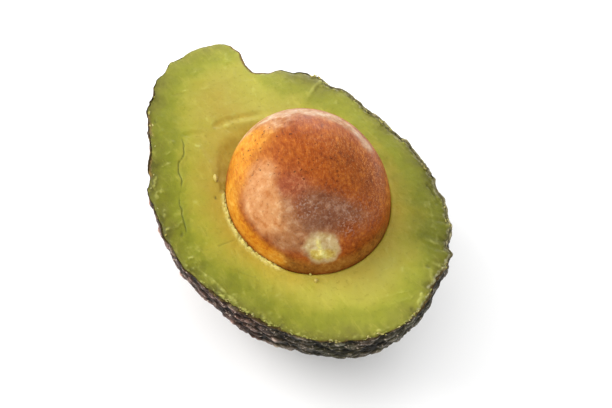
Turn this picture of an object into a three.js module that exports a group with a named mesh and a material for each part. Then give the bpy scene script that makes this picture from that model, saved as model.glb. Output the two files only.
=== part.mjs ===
// Half of a ripe avocado, cut lengthwise, with its seed still in place.
// Millimetres, +Z up. The half lies on its back on a small flat spot, cut face up.
// Origin: centre of the outline on the surface it lies on. +Y points to the stem end.
import * as THREE from 'three';
import { mergeVertices } from 'three/addons/utils/BufferGeometryUtils.js';

// ---- driving dimensions -------------------------------------------------
const HALF_LENGTH = 54.0;        // half of the length that the smooth outline follows
const GIRTH_MEAN = 34.862;       // half-width term of the ovoid outline
const GIRTH_TAPER = -5.006;      // taper towards the stem end
const FACE_HEIGHT = 34.7;        // cut face above the flat spot it lies on
const CENTRE = [0, -4];          // pole of the rim table and of the dome
const SKIN_THICKNESS = 1.2;      // peel
const SKIN_GAP = 0.3;            // clearance between peel and flesh
const RIM_FADE = 15;             // depth over which the rim's dents die out
const SEED_CENTRE = [3.1, -7.2]; // on the cut face
const SEED_LONG = 25.0;          // semi-axis along the seed
const SEED_WIDE = 21.7;          // semi-axis across, in the cut face
const SEED_DEEP = 21.4;          // semi-axis across, square to the cut face
const SEED_TURN = 76;            // degrees from +X to the seed's long axis
const SEED_CLEAR = 0.4;          // clearance between seed and flesh
const RECESS_DEPTH = 5.5;        // deepest part of the hollow beside the seed
const COLUMNS = 76;              // columns round the fruit
const DOME_RINGS = 11;           // rings from the back to the rim
const CAVITY_RINGS = 7;          // rings down the seed's cavity
const SHIFT = [0.0437, 0.0276];  // puts the outline's middle on the origin

// Rim of the cut face about CENTRE: [degrees from +X, radius in mm].
const RIM = [
  [-170, 36.3], [-156, 37.4], [-143, 39.0], [-133, 40.6], [-125, 42.6], [-119, 44.4],
  [-111, 46.6], [-103, 48.2], [-96, 49.4], [-90, 49.8], [-83, 49.8], [-77, 49.3],
  [-71, 48.4], [-63, 47.0], [-58, 46.0], [-52, 44.6], [-45, 43.0], [-35, 41.0],
  [-25, 38.9], [-14, 37.1], [-2, 35.7], [8, 35.6], [17, 35.9], [27, 37.0],
  [38, 39.2], [47, 41.2], [54, 42.4], [60, 42.8], [66, 42.8], [70, 43.2],
  [72.6, 45.2], [74.2, 48.4], [75.8, 51.8], [78, 55.2], [81.5, 57.2], [86, 57.8],
  [91, 57.6], [96, 56.8], [101.5, 55.0], [106, 52.8], [111, 50.4], [117, 46.9],
  [125, 42.9], [134, 40.3], [143, 38.5], [155, 36.9], [168, 36.2], [179, 36.1],
];

// Width of the hollow beside the seed: [degrees from +X about the seed, mm beyond the seed].
const RECESS = [
  [60, 0], [76, 3.2], [89, 7.2], [99, 10.4], [106, 11.4], [113, 9.6], [121, 7.2],
  [129, 5.2], [138, 3.2], [150, 1.2], [162, 0],
];

// ---- outline and dome ---------------------------------------------------
const rad = (d) => (d * Math.PI) / 180;

// Half-width of the smooth, uncut body at a place along the long axis.
function girth(y) {
  const s = Math.min(1, Math.max(-1, y / HALF_LENGTH));
  return Math.sqrt(1 - s * s) * (GIRTH_MEAN + GIRTH_TAPER * s);
}

// Radius of the smooth outline from CENTRE in one direction.
function smoothRadius(a) {
  let lo = 10, hi = 70;
  for (let i = 0; i < 50; i++) {
    const r = (lo + hi) / 2;
    const x = CENTRE[0] + r * Math.cos(a), y = CENTRE[1] + r * Math.sin(a);
    if (Math.abs(y) < HALF_LENGTH && Math.abs(x) < girth(y)) lo = r; else hi = r;
  }
  return (lo + hi) / 2;
}

// Depth of the uncut body below the cut face: every cross-section is a half circle.
function bodyDepth(x, y) {
  const g = girth(y);
  return Math.sqrt(Math.max(0, g * g - x * x));
}

const rimCurve = new THREE.CatmullRomCurve3(
  RIM.map(([d, r]) => new THREE.Vector3(
    CENTRE[0] + r * Math.cos(rad(d)), CENTRE[1] + r * Math.sin(rad(d)), 0)),
  true, 'centripetal');
const rim = rimCurve.getSpacedPoints(COLUMNS).slice(0, COLUMNS);
const smooth = rim.map((p) => {
  const a = Math.atan2(p.y - CENTRE[1], p.x - CENTRE[0]);
  const r = smoothRadius(a);
  return new THREE.Vector3(CENTRE[0] + r * Math.cos(a), CENTRE[1] + r * Math.sin(a), 0);
});

// Point of the peel's outer surface: column j, latitude t (0 at the rim, 1 at the back).
function domePoint(j, t) {
  const n = ((j % COLUMNS) + COLUMNS) % COLUMNS;
  const c = Math.cos((t * Math.PI) / 2);
  const q = smooth[n], p = rim[n];
  const x = CENTRE[0] + c * (q.x - CENTRE[0]), y = CENTRE[1] + c * (q.y - CENTRE[1]);
  const depth = bodyDepth(x, y);
  const k = Math.min(1, depth / RIM_FADE);
  const fade = Math.cos((k * Math.PI) / 2) ** 2;
  return new THREE.Vector3(x + c * fade * (p.x - q.x), y + c * fade * (p.y - q.y), -depth);
}

// Outward unit normal of the peel at the same place.
function domeNormal(j, t) {
  const h = 0.02, t0 = Math.max(0, t - h), t1 = Math.min(1, t + h);
  const along = domePoint(j + 1, t).sub(domePoint(j - 1, t));
  const up = domePoint(j, t0).sub(domePoint(j, t1));
  const n = along.cross(up).normalize();
  if (t === 0) { n.z = 0; n.normalize(); }
  return n;
}

// Rings of a surface that lies a given distance inside the peel's outer surface,
// flat at the bottom where the fruit lies on it.
function domeRings(inset) {
  const rings = [];
  for (let k = DOME_RINGS; k >= 0; k--) {
    const t = (k / (DOME_RINGS + 1));
    const ring = [];
    for (let j = 0; j < COLUMNS; j++) {
      const p = domePoint(j, t);
      if (inset > 0) p.addScaledVector(domeNormal(j, t), -inset);
      p.z = Math.max(p.z, inset - FACE_HEIGHT);
      ring.push(p);
    }
    rings.push(ring);
  }
  return rings; // from the back up to the rim
}

// ---- seed and cavity ----------------------------------------------------
const seedAngle = rad(SEED_TURN);

// In-plane reach of an ellipsoid like the seed, in direction a about its centre.
function seedReach(a, grow) {
  const u = Math.cos(a - seedAngle) / (SEED_LONG + grow);
  const v = Math.sin(a - seedAngle) / (SEED_WIDE + grow);
  return 1 / Math.hypot(u, v);
}

function tableAt(table, deg) {
  if (deg <= table[0][0] || deg >= table[table.length - 1][0]) return 0;
  for (let i = 1; i < table.length; i++) {
    if (deg <= table[i][0]) {
      const [a0, v0] = table[i - 1], [a1, v1] = table[i];
      const s = (deg - a0) / (a1 - a0);
      return v0 + (v1 - v0) * s * s * (3 - 2 * s);
    }
  }
  return 0;
}

// Directions in which the cavity's columns run, matched to the rim's columns.
const directions = rim.map((p) => Math.atan2(p.y - SEED_CENTRE[1], p.x - SEED_CENTRE[0]));

function cavityRings() {
  const rings = [[], [], []];
  for (let k = 0; k < CAVITY_RINGS; k++) rings.push([]);
  for (let j = 0; j < COLUMNS; j++) {
    const a = directions[j];
    const reach = seedReach(a, SEED_CLEAR);
    const wide = tableAt(RECESS, (a * 180) / Math.PI);
    const drop = Math.max(0.25, RECESS_DEPTH * Math.min(1, wide / 11.4));
    const b0 = Math.asin(drop / (SEED_DEEP + SEED_CLEAR));
    const at = (r, z) => new THREE.Vector3(
      SEED_CENTRE[0] + r * Math.cos(a), SEED_CENTRE[1] + r * Math.sin(a), z);
    const foot = reach * Math.cos(b0) + 0.15;
    const edge = Math.max(reach + wide, foot + 0.9);
    rings[0].push(rim[j].clone().lerp(at(edge, 0), 0.55).setZ(0));
    rings[1].push(at(edge, 0));
    rings[2].push(at((edge + foot) / 2, -drop * 0.72));
    for (let k = 0; k < CAVITY_RINGS; k++) {
      const b = b0 + ((Math.PI / 2 - b0) * k) / (CAVITY_RINGS + 0.35);
      rings[3 + k].push(at(reach * Math.cos(b) + (k === 0 ? 0.15 : 0), -(SEED_DEEP + SEED_CLEAR) * Math.sin(b)));
    }
  }
  return rings;
}

// ---- solids -------------------------------------------------------------
// Closed surface through rings of equal length, from a first pole to a last pole.
function ringSolid(first, rings, last) {
  const n = rings[0].length;
  const position = [first.x, first.y, first.z];
  for (const ring of rings) for (const p of ring) position.push(p.x, p.y, p.z);
  position.push(last.x, last.y, last.z);
  const at = (k, j) => 1 + k * n + (j % n);
  const end = 1 + rings.length * n;
  const index = [];
  for (let j = 0; j < n; j++) {
    index.push(0, at(0, j + 1), at(0, j));
    for (let k = 0; k + 1 < rings.length; k++) {
      index.push(at(k, j), at(k, j + 1), at(k + 1, j + 1));
      index.push(at(k, j), at(k + 1, j + 1), at(k + 1, j));
    }
    index.push(at(rings.length - 1, j), at(rings.length - 1, j + 1), end);
  }
  const g = new THREE.BufferGeometry();
  g.setAttribute('position', new THREE.Float32BufferAttribute(position, 3));
  g.setIndex(index);
  g.computeVertexNormals();
  return g;
}

const back = (inset) => new THREE.Vector3(CENTRE[0], CENTRE[1], inset - FACE_HEIGHT);

const peelRings = [...domeRings(0), ...domeRings(SKIN_THICKNESS).reverse()];
const peelGeometry = ringSolid(back(0), peelRings, back(SKIN_THICKNESS));

const fleshInset = SKIN_THICKNESS + SKIN_GAP;
const fleshGeometry = ringSolid(
  back(fleshInset),
  [...domeRings(fleshInset), ...cavityRings()],
  new THREE.Vector3(SEED_CENTRE[0], SEED_CENTRE[1], -(SEED_DEEP + SEED_CLEAR)));

// The seed is an ellipsoid with its long axis in the cut face.
let seedGeometry = new THREE.SphereGeometry(1, 36, 22);
seedGeometry.scale(SEED_WIDE, SEED_LONG, SEED_DEEP);
seedGeometry.rotateZ(seedAngle - Math.PI / 2);
seedGeometry.deleteAttribute('normal');
seedGeometry.deleteAttribute('uv');
seedGeometry = mergeVertices(seedGeometry, 1e-4);
seedGeometry.computeVertexNormals();

// ---- scene graph --------------------------------------------------------
const avocado = new THREE.Group();
avocado.name = 'avocado_half';

const body = new THREE.Group();
body.position.set(SHIFT[0], SHIFT[1], FACE_HEIGHT);
avocado.add(body);

const skin = new THREE.Mesh(peelGeometry, new THREE.MeshStandardMaterial({
  color: 0x2e2622, roughness: 0.55, metalness: 0,
}));
skin.name = 'skin';
body.add(skin);

const flesh = new THREE.Mesh(fleshGeometry, new THREE.MeshStandardMaterial({
  color: 0xc2ba54, roughness: 0.42, metalness: 0,
}));
flesh.name = 'flesh';
body.add(flesh);

const seed = new THREE.Mesh(seedGeometry, new THREE.MeshStandardMaterial({
  color: 0xa35a2a, roughness: 0.4, metalness: 0,
}));
seed.name = 'seed';
seed.position.set(SEED_CENTRE[0], SEED_CENTRE[1], 0);
body.add(seed);

export default avocado;
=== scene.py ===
import math

import bpy
import numpy as np
from mathutils import Matrix, Vector


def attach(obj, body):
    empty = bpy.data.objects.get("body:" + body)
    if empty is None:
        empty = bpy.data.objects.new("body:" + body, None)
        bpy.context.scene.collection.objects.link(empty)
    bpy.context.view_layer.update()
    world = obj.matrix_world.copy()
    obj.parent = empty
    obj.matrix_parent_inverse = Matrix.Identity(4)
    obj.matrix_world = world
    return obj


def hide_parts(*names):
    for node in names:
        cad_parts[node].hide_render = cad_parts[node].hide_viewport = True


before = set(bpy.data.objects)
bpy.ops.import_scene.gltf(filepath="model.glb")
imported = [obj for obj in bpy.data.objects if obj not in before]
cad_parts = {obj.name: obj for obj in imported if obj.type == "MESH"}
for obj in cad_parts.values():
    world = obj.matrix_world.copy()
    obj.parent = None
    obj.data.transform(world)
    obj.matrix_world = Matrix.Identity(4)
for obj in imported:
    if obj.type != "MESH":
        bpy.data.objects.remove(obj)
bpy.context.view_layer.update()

# ---------------------------------------------------------------- dimensions
# Millimetres in the fruit's own frame: x across, y to the stem end, w above the cut face.
HALF_LENGTH = 54.0
GIRTH_MEAN = 34.862
GIRTH_TAPER = -5.006
FACE = 34.7                                   # cut face above the surface it lies on
SHIFT = np.array([0.0437, 0.0276])
CENTRE = np.array([0.0, -4.0])
RIM_FADE = 15.0
SEED_C = np.array([3.1, -7.2])
SEED_AX = (25.0, 21.7, 21.4)                  # along, across, deep
SEED_TURN = math.radians(76.0)
SCAR_DIR = np.array([-0.372, -0.866, 0.368])  # from the seed's middle to its pale scar

RIM = [
    (-167, 36.7), (-163, 36.8), (-156, 37.3), (-150, 38), (-143, 39), (-133, 40.8), (-125, 42.8), (-119, 44.6),
    (-111, 46.7), (-103, 48.3), (-96, 49.4), (-90, 49.9), (-83, 49.7), (-78, 48.9), (-74.5, 48.2), (-71, 47.1),
    (-68, 46.6), (-64.5, 46.4), (-62.5, 47.01), (-60.7, 46.55), (-59, 46.19), (-57.1, 46.57), (-56, 45.49),
    (-54.9, 44.34), (-53.3, 43.93), (-51.5, 44.04), (-49.8, 44.11), (-48.2, 43.65), (-46.4, 43.79), (-44.9, 43.25),
    (-43.4, 42.17), (-41.7, 41.9), (-39.9, 41.88), (-38.2, 41.52), (-36.5, 41.05), (-34.7, 40.82), (-32.8, 39.89),
    (-30.9, 39.32), (-29, 39), (-27, 38.89), (-25.1, 38.94), (-22.9, 38.28), (-20.8, 37.94), (-18.6, 37.6),
    (-16.4, 37.34), (-14, 36.88), (-11.6, 36.74), (-9.1, 36.41), (-6.9, 36.19), (-4.6, 36.36), (-2.4, 36.24),
    (-0.4, 35.43), (2.5, 35.13), (8.3, 35.03), (12.8, 35.4), (15.8, 35.59), (17.8, 35.4), (20.3, 35.29),
    (23.5, 35.7), (27.1, 36.8), (29.9, 37.22), (32.8, 37.96), (35.5, 38.53), (37.7, 38.56), (39.9, 38.58),
    (41.7, 38.59), (43.6, 39.14), (45.4, 40.19), (47.1, 41.07), (48.8, 41.42), (50.8, 41.54), (52.1, 42.21),
    (53.6, 42.37), (55.9, 42.5), (57.5, 42.25), (59, 42.51), (60.5, 42.95), (62.4, 43.45), (63.5, 43.41),
    (65.5, 42.98), (67, 42.67), (68.9, 42.91), (71.2, 43.16), (72.9, 43.75), (73.6, 44.95), (74.5, 46.77),
    (74.8, 49.03), (74.7, 50.79), (74.9, 51.95), (75.6, 52.79), (76.3, 53.82), (76.8, 55.07), (77.6, 55.68),
    (78.3, 56.33), (79.1, 56.75), (80.4, 57.24), (82.5, 57.51), (84.5, 57.85), (86.1, 58.05), (87.4, 58.05),
    (88.5, 57.95), (89.9, 57.8), (90.7, 57.56), (92.2, 57.35), (93.8, 57.47), (95, 57.71), (95.9, 57.41),
    (97.1, 56.67), (98.2, 56.11), (99.4, 55.58), (100.7, 55.37), (102.4, 55.14), (104.1, 54.12), (105.5, 53.41),
    (106.2, 52.39), (107.1, 51.63), (108.7, 51.06), (110.2, 50.97), (110.7, 50.39), (112.1, 50.06), (113.9, 49.11),
    (116.1, 47.45), (118.4, 45.85), (120.4, 44.99), (122.5, 43.7), (124.9, 42.53), (127.3, 41.5), (129.6, 40.93),
    (132.4, 40.58), (135.7, 40.09), (138, 39.63), (140.3, 38.82), (143.2, 38.76), (146.4, 38.88), (149.1, 38.5),
    (151.3, 38.01), (153.7, 37.25), (156.2, 37.08), (159.1, 36.63), (162.1, 36.4), (165.3, 36.18), (167.8, 36.47),
    (170.4, 36.59), (173.3, 36.31), (176.3, 36.01), (178.7, 36.18), (-177.8, 36.41), (-175, 36.62), (-170.4, 36.88),
]
# How far the peel bulges from the plain form, in mm, by degrees about the middle.
BULGE = [
    (-180, 0.8), (-168, 0.4), (-156, -0.4), (-144, -0.3), (-132, -1.0), (-120, -1.9), (-108, -1.1), (-96, -0.2),
    (-84, -0.5), (-72, 0.0), (-60, 0.0), (-48, 0.0), (160, 0.0), (180, 0.8),
]
# Small marks on the cut face: from x, y to x, y, half width, height, and paler (+) or darker (-).
MARKS = [
    (9.0, 46.9, 8.2, 44.8, 0.72, 0.14, 0.45), (-2.2, 46.0, -1.3, 46.2, 0.61, 0.10, 0.30), (8.0, 40.8, 7.6, 39.5, 0.50, 0.10, 0.35),
    (-7.6, 41.8, -6.8, 41.7, 0.42, 0.20, 0.75), (-2.4, 39.6, -0.9, 39.3, 0.67, 0.16, 0.55), (-10.8, 42.6, -8.0, 41.1, 0.22, -0.12, -0.25),
    (-19.4, 36.7, -19.5, 36.1, 0.33, -0.15, -0.60), (-22.0, 29.7, -22.1, 29.3, 0.25, -0.12, -0.50), (-13.8, 23.5, -13.3, 22.6, 0.42, 0.20, 0.85),
    (-22.5, 25.0, -21.2, 25.1, 0.36, 0.20, 0.65), (-25.1, 22.0, -24.1, 22.0, 0.39, 0.20, 0.60), (-23.4, 22.1, -22.9, 22.1, 0.31, 0.15, 0.55),
    (-28.4, 19.9, -29.9, 17.7, 0.44, 0.26, 0.75), (-30.4, 15.1, -29.2, 14.9, 0.47, 0.20, 0.55), (-30.9, 15.0, -31.6, 13.5, 0.50, 0.22, 0.65),
    (-31.7, 9.0, -32.5, 7.2, 0.50, 0.24, 0.65), (-34.3, 3.2, -33.7, 3.2, 0.42, 0.42, 0.95), (-28.5, 7.6, -28.7, 6.9, 0.31, 0.12, 0.50),
    (-24.7, 16.8, -24.7, 16.2, 0.33, 0.08, 0.30), (-29.2, 16.0, -29.2, 15.5, 0.28, 0.12, 0.45), (-32.1, 2.7, -29.9, 2.8, 0.33, 0.26, 0.50),
    (-31.4, 0.2, -31.5, -0.2, 0.31, -0.25, -0.70), (-18.0, 5.5, -18.1, 5.2, 0.25, -0.10, -1.00), (-32.7, -5.0, -31.4, -4.9, 0.78, 0.12, 0.42),
    (-30.0, -5.9, -30.4, -7.1, 0.47, 0.20, 0.55), (-33.4, -7.9, -33.0, -8.0, 0.36, 0.40, 0.95), (-29.3, -23.8, -28.7, -23.7, 0.50, 0.15, 0.50),
    (-20.4, -29.3, -19.9, -29.3, 0.47, 0.14, 0.55), (-20.9, -27.0, -19.9, -26.4, 0.56, 0.12, 0.45), (-22.9, -27.7, -22.7, -27.6, 0.33, 0.14, 0.60),
    (-25.7, -16.0, -21.7, -22.9, 0.22, -0.07, -0.16), (-26.1, -27.9, -23.6, -26.7, 0.36, 0.08, 0.22), (-31.2, -11.0, -31.7, -12.4, 0.61, -0.10, -0.25),
    (-33.1, -9.9, -32.6, -14.3, 0.42, 0.16, 0.45), (-32.6, -14.3, -31.6, -17.4, 0.42, 0.16, 0.50), (-31.6, -17.4, -30.9, -20.8, 0.39, 0.14, 0.50),
    (-30.9, -20.8, -30.6, -24.5, 0.39, 0.14, 0.40), (-30.6, -24.5, -29.6, -28.4, 0.39, 0.14, 0.40), (-29.6, -28.4, -28.3, -30.7, 0.42, 0.14, 0.45),
    (-26.5, -31.2, -25.9, -32.1, 0.44, 0.12, 0.40), (10.3, -36.3, 10.9, -36.3, 0.39, 0.08, 0.35), (7.4, -37.5, 8.5, -37.8, 0.33, 0.10, 0.45),
    (17.5, -42.2, 17.6, -42.7, 0.42, -0.25, -0.60), (17.5, -43.8, 15.8, -47.4, 0.72, 0.25, 0.60), (11.2, -48.4, 8.6, -51.7, 0.47, 0.28, 0.80),
    (7.9, -52.8, 8.0, -53.2, 0.42, 0.40, 1.00), (2.4, -44.3, 9.3, -46.0, 0.28, 0.10, 0.35), (2.8, -46.9, 9.3, -48.3, 0.25, 0.10, 0.35),
    (6.7, -50.8, 6.6, -51.3, 0.33, -0.20, -0.60), (13.6, -46.8, 13.4, -47.9, 0.61, -0.20, -0.35), (-3.5, -44.9, -3.5, -45.9, 0.25, 0.10, 0.40),
    (-4.7, -40.2, -2.0, -42.2, 0.22, -0.06, -0.15), (-9.8, -50.0, -7.5, -51.0, 0.53, 0.15, 0.55), (-4.0, -51.8, -1.4, -52.3, 0.53, 0.15, 0.50),
    (-22.0, -42.5, -18.9, -45.7, 0.39, 0.16, 0.50), (-16.8, -43.8, -16.1, -44.9, 0.47, 0.12, 0.40), (30.4, -33.8, 29.8, -34.9, 0.44, 0.30, 0.70),
    (28.8, -36.6, 28.3, -37.6, 0.42, 0.28, 0.60), (29.0, -26.8, 25.7, -33.8, 0.42, 0.14, 0.38), (32.2, -21.0, 31.9, -24.7, 0.28, -0.22, -0.50),
    (31.9, -24.7, 31.0, -27.3, 0.28, -0.16, -0.35), (31.4, 17.5, 31.9, 17.3, 0.39, 0.35, 0.90), (30.3, 19.0, 30.8, 18.4, 0.39, 0.28, 0.60),
    (35.0, -19.6, 35.0, -20.2, 0.39, 0.30, 0.90), (26.5, 23.0, 27.1, 22.9, 0.42, 0.24, 0.60), (27.7, 21.6, 28.3, 21.5, 0.42, 0.24, 0.60),
    (28.9, 20.3, 29.5, 20.1, 0.39, 0.28, 0.75), (9.2, 30.3, 8.9, 29.3, 0.33, 0.08, 0.40), (18.0, 30.6, 19.3, 31.2, 0.44, 0.10, 0.35),
    (15.3, 30.8, 15.2, 29.1, 0.83, 0.06, 0.25), (-5.5, 31.1, -6.3, 27.8, 0.94, 0.10, 0.28), (-3.6, 25.3, -3.1, 24.5, 0.44, 0.12, 0.45),
    (1.0, 25.0, 2.7, 24.6, 0.42, 0.10, 0.35),
]
# Hollow beside the seed: degrees about the seed, width in mm, depth in mm.
RECESS = [
    (66, 0, 0), (80, 3.0, 0.8), (89, 5.6, 1.8), (95, 6.7, 2.6), (99.5, 7.5, 3.1), (104, 7.7, 3.5),
    (112, 7.7, 3.9), (120.5, 6.5, 3.8), (128, 4.9, 3.2), (136, 3.1, 2.2), (147, 1.5, 1.0), (160, 0, 0),
]
CRACK = [(-15.4, 29.6), (-16.1, 27.2), (-17.0, 24.7), (-18.4, 22.4), (-21.1, 20.4), (-22.3, 18.0),
         (-22.9, 15.3), (-24.4, 13.1), (-26.2, 10.7), (-27.7, 7.2), (-28.9, 3.4), (-30.6, -0.9)]
CRACK_TOP = [(-16.2, 27.4), (-15.4, 28.9), (-13.2, 28.9), (-10.2, 27.4), (-8.4, 25.2)]
ARC = [(-7.4, 25.6), (-6.1, 27.0), (-2.3, 27.4), (2.5, 25.9), (7.6, 24.0), (11.2, 21.6)]
RIDGE = [(28.4, 24.4), (25.6, 24.2), (22.6, 22.6), (20.2, 21.0), (17.4, 18.4)]
LIGHT_RIDGE = [(-12.6, 24.6), (-13.5, 22.4), (-13.7, 19.2), (-13.9, 15.9), (-15.4, 12.0), (-16.4, 8.0)]
FAINT = [(-20.5, -9.0), (-25.5, -8.3)]


# ---------------------------------------------------------------- noise
def _hash(ix, iy, iz, seed):
    h = (ix.astype(np.int64) * 73856093) ^ (iy.astype(np.int64) * 19349663) ^ (iz.astype(np.int64) * 83492791)
    h = (h ^ (seed * 668265263)) & 0xFFFFFFFF
    h = ((h ^ (h >> 15)) * 0x2C1B3C6D) & 0xFFFFFFFF
    h = ((h ^ (h >> 12)) * 0x297A2D39) & 0xFFFFFFFF
    return h ^ (h >> 15)


def perlin(p, seed=0):
    """Smooth noise in about -1..1 at points p (N, 3)."""
    i = np.floor(p).astype(np.int64)
    f = p - i
    u = f * f * f * (f * (f * 6 - 15) + 10)
    total = np.zeros(len(p))
    for dx in (0, 1):
        wx = u[:, 0] if dx else 1 - u[:, 0]
        for dy in (0, 1):
            wy = u[:, 1] if dy else 1 - u[:, 1]
            for dz in (0, 1):
                wz = u[:, 2] if dz else 1 - u[:, 2]
                h = _hash(i[:, 0] + dx, i[:, 1] + dy, i[:, 2] + dz, seed)
                g = ((h & 1023) / 511.5 - 1) * (f[:, 0] - dx)
                g += (((h >> 10) & 1023) / 511.5 - 1) * (f[:, 1] - dy)
                g += (((h >> 20) & 1023) / 511.5 - 1) * (f[:, 2] - dz)
                total += wx * wy * wz * g
    return total * 1.35


def fbm(p, seed=0, octaves=4, gain=0.5, lac=2.03):
    total, amp, norm = np.zeros(len(p)), 1.0, 0.0
    for k in range(octaves):
        total += amp * perlin(p * lac ** k + 17.3 * k, seed + 31 * k)
        norm += amp
        amp *= gain
    return total / norm


def cells(p, seed=0):
    """Distances to the nearest and second nearest scattered point, and a random number for the nearest."""
    i = np.floor(p).astype(np.int64)
    f1 = np.full(len(p), 9.0)
    f2 = np.full(len(p), 9.0)
    tag = np.zeros(len(p))
    for dx in (-1, 0, 1):
        for dy in (-1, 0, 1):
            for dz in (-1, 0, 1):
                cx, cy, cz = i[:, 0] + dx, i[:, 1] + dy, i[:, 2] + dz
                h = _hash(cx, cy, cz, seed)
                d = np.sqrt((cx + (h & 1023) / 1023 - p[:, 0]) ** 2
                            + (cy + ((h >> 10) & 1023) / 1023 - p[:, 1]) ** 2
                            + (cz + ((h >> 20) & 1023) / 1023 - p[:, 2]) ** 2)
                near = d < f1
                f2 = np.where(near, f1, np.minimum(f2, d))
                tag = np.where(near, (h % 997) / 996, tag)
                f1 = np.where(near, d, f1)
    return f1, f2, tag


def smooth(a, b, x):
    t = np.clip((x - a) / (b - a), 0, 1)
    return t * t * (3 - 2 * t)


def bell(x, width):
    return np.exp(-(x / width) ** 2)


def norm_rows(v):
    return v / np.maximum(np.linalg.norm(v, axis=1, keepdims=True), 1e-9)


# ---------------------------------------------------------------- curves
def spline(pts, closed, per=24):
    """Centripetal curve through points."""
    pts = np.array(pts, float)
    n = len(pts)
    if not closed:
        pts = np.vstack([2 * pts[0] - pts[1], pts, 2 * pts[-1] - pts[-2]])
    out = []
    for i in range(n if closed else n - 1):
        if closed:
            q = [pts[(i + k - 1) % n] for k in range(4)]
        else:
            q = [pts[i + k] for k in range(4)]
        t = [0.0]
        for k in range(3):
            t.append(t[-1] + max(np.linalg.norm(q[k + 1] - q[k]) ** 0.5, 1e-6))
        s = np.linspace(t[1], t[2], per, endpoint=False)[:, None]
        a1 = (t[1] - s) / (t[1] - t[0]) * q[0] + (s - t[0]) / (t[1] - t[0]) * q[1]
        a2 = (t[2] - s) / (t[2] - t[1]) * q[1] + (s - t[1]) / (t[2] - t[1]) * q[2]
        a3 = (t[3] - s) / (t[3] - t[2]) * q[2] + (s - t[2]) / (t[3] - t[2]) * q[3]
        b1 = (t[2] - s) / (t[2] - t[0]) * a1 + (s - t[0]) / (t[2] - t[0]) * a2
        b2 = (t[3] - s) / (t[3] - t[1]) * a2 + (s - t[1]) / (t[3] - t[1]) * a3
        out.append((t[2] - s) / (t[2] - t[1]) * b1 + (s - t[1]) / (t[2] - t[1]) * b2)
    out = np.vstack(out)
    return out if closed else np.vstack([out, pts[-2]])


def resample(curve, count, closed):
    c = np.vstack([curve, curve[:1]]) if closed else curve
    run = np.concatenate([[0], np.cumsum(np.linalg.norm(np.diff(c, axis=0), axis=1))])
    at = np.linspace(0, run[-1], count, endpoint=not closed)
    return np.stack([np.interp(at, run, c[:, k]) for k in range(c.shape[1])], 1)


def near_curve(p, curve, chunk=4000):
    """Distance, place along (0..1) and side (+1 left of the direction of travel) of points to a curve."""
    tangent = norm_rows(np.gradient(curve, axis=0))
    dist, where = np.empty(len(p)), np.empty(len(p), int)
    for a in range(0, len(p), chunk):
        d = p[a:a + chunk, None, :] - curve[None]
        d2 = (d * d).sum(2)
        k = d2.argmin(1)
        where[a:a + chunk] = k
        dist[a:a + chunk] = np.sqrt(d2[np.arange(len(k)), k])
    d = p - curve[where]
    t = tangent[where]
    side = np.sign(t[:, 0] * d[:, 1] - t[:, 1] * d[:, 0])
    return dist, where / (len(curve) - 1), side


def girth(y):
    s = np.clip(y / HALF_LENGTH, -1, 1)
    return np.sqrt(1 - s * s) * (GIRTH_MEAN + GIRTH_TAPER * s)


def smooth_radius(a):
    lo, hi = np.full(len(a), 10.0), np.full(len(a), 70.0)
    for _ in range(40):
        r = (lo + hi) / 2
        x, y = CENTRE[0] + r * np.cos(a), CENTRE[1] + r * np.sin(a)
        inside = (abs(y) < HALF_LENGTH) & (abs(x) < girth(y))
        lo, hi = np.where(inside, r, lo), np.where(inside, hi, r)
    return (lo + hi) / 2


# ---------------------------------------------------------------- meshes
class Shell:
    """Rings of points joined into one closed surface; a ring may have half or twice the points of its neighbour."""

    def __init__(self):
        self.rings, self.count, self.faces, self.last = [], 0, [], None

    def ring(self, **values):
        n = len(values["co"])
        idx = np.arange(n) + self.count
        self.count += n
        self.rings.append(values)
        if self.last is not None:
            self.link(self.last, idx)
        self.last = idx
        return idx

    def pole(self, **values):
        values = {k: np.asarray(v, float).reshape(1, -1) if k in ("co", "nrm") else np.array([float(v)]) for k, v in values.items()}
        idx = self.count
        self.count += 1
        self.rings.append(values)
        if self.last is None:
            self.last = np.array([idx])
        else:
            a, b = self.last, np.roll(self.last, -1)
            self.faces.append(np.stack([a, b, np.full(len(a), idx)], 1))
            self.last = None
        return idx

    def link(self, a, b):
        if len(a) == 1:
            self.faces.append(np.stack([np.full(len(b), a[0]), np.roll(b, -1), b], 1))
        elif len(a) == len(b):
            self.faces.append(np.stack([a, np.roll(a, -1), np.roll(b, -1), b], 1))
        elif len(a) == 2 * len(b):
            a0, a1, a2 = a[0::2], a[1::2], np.roll(a[0::2], -1)
            b0, b1 = b, np.roll(b, -1)
            self.faces += [np.stack([a0, a1, b0], 1), np.stack([a1, b1, b0], 1), np.stack([a1, a2, b1], 1)]
        elif len(b) == 2 * len(a):
            b0, b1, b2 = b[0::2], b[1::2], np.roll(b[0::2], -1)
            a0, a1 = a, np.roll(a, -1)
            self.faces += [np.stack([a0, b1, b0], 1), np.stack([a0, a1, b1], 1), np.stack([a1, b2, b1], 1)]
        else:
            raise ValueError("rings don't match")

    def gather(self, key):
        return np.concatenate([r[key] for r in self.rings])


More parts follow.
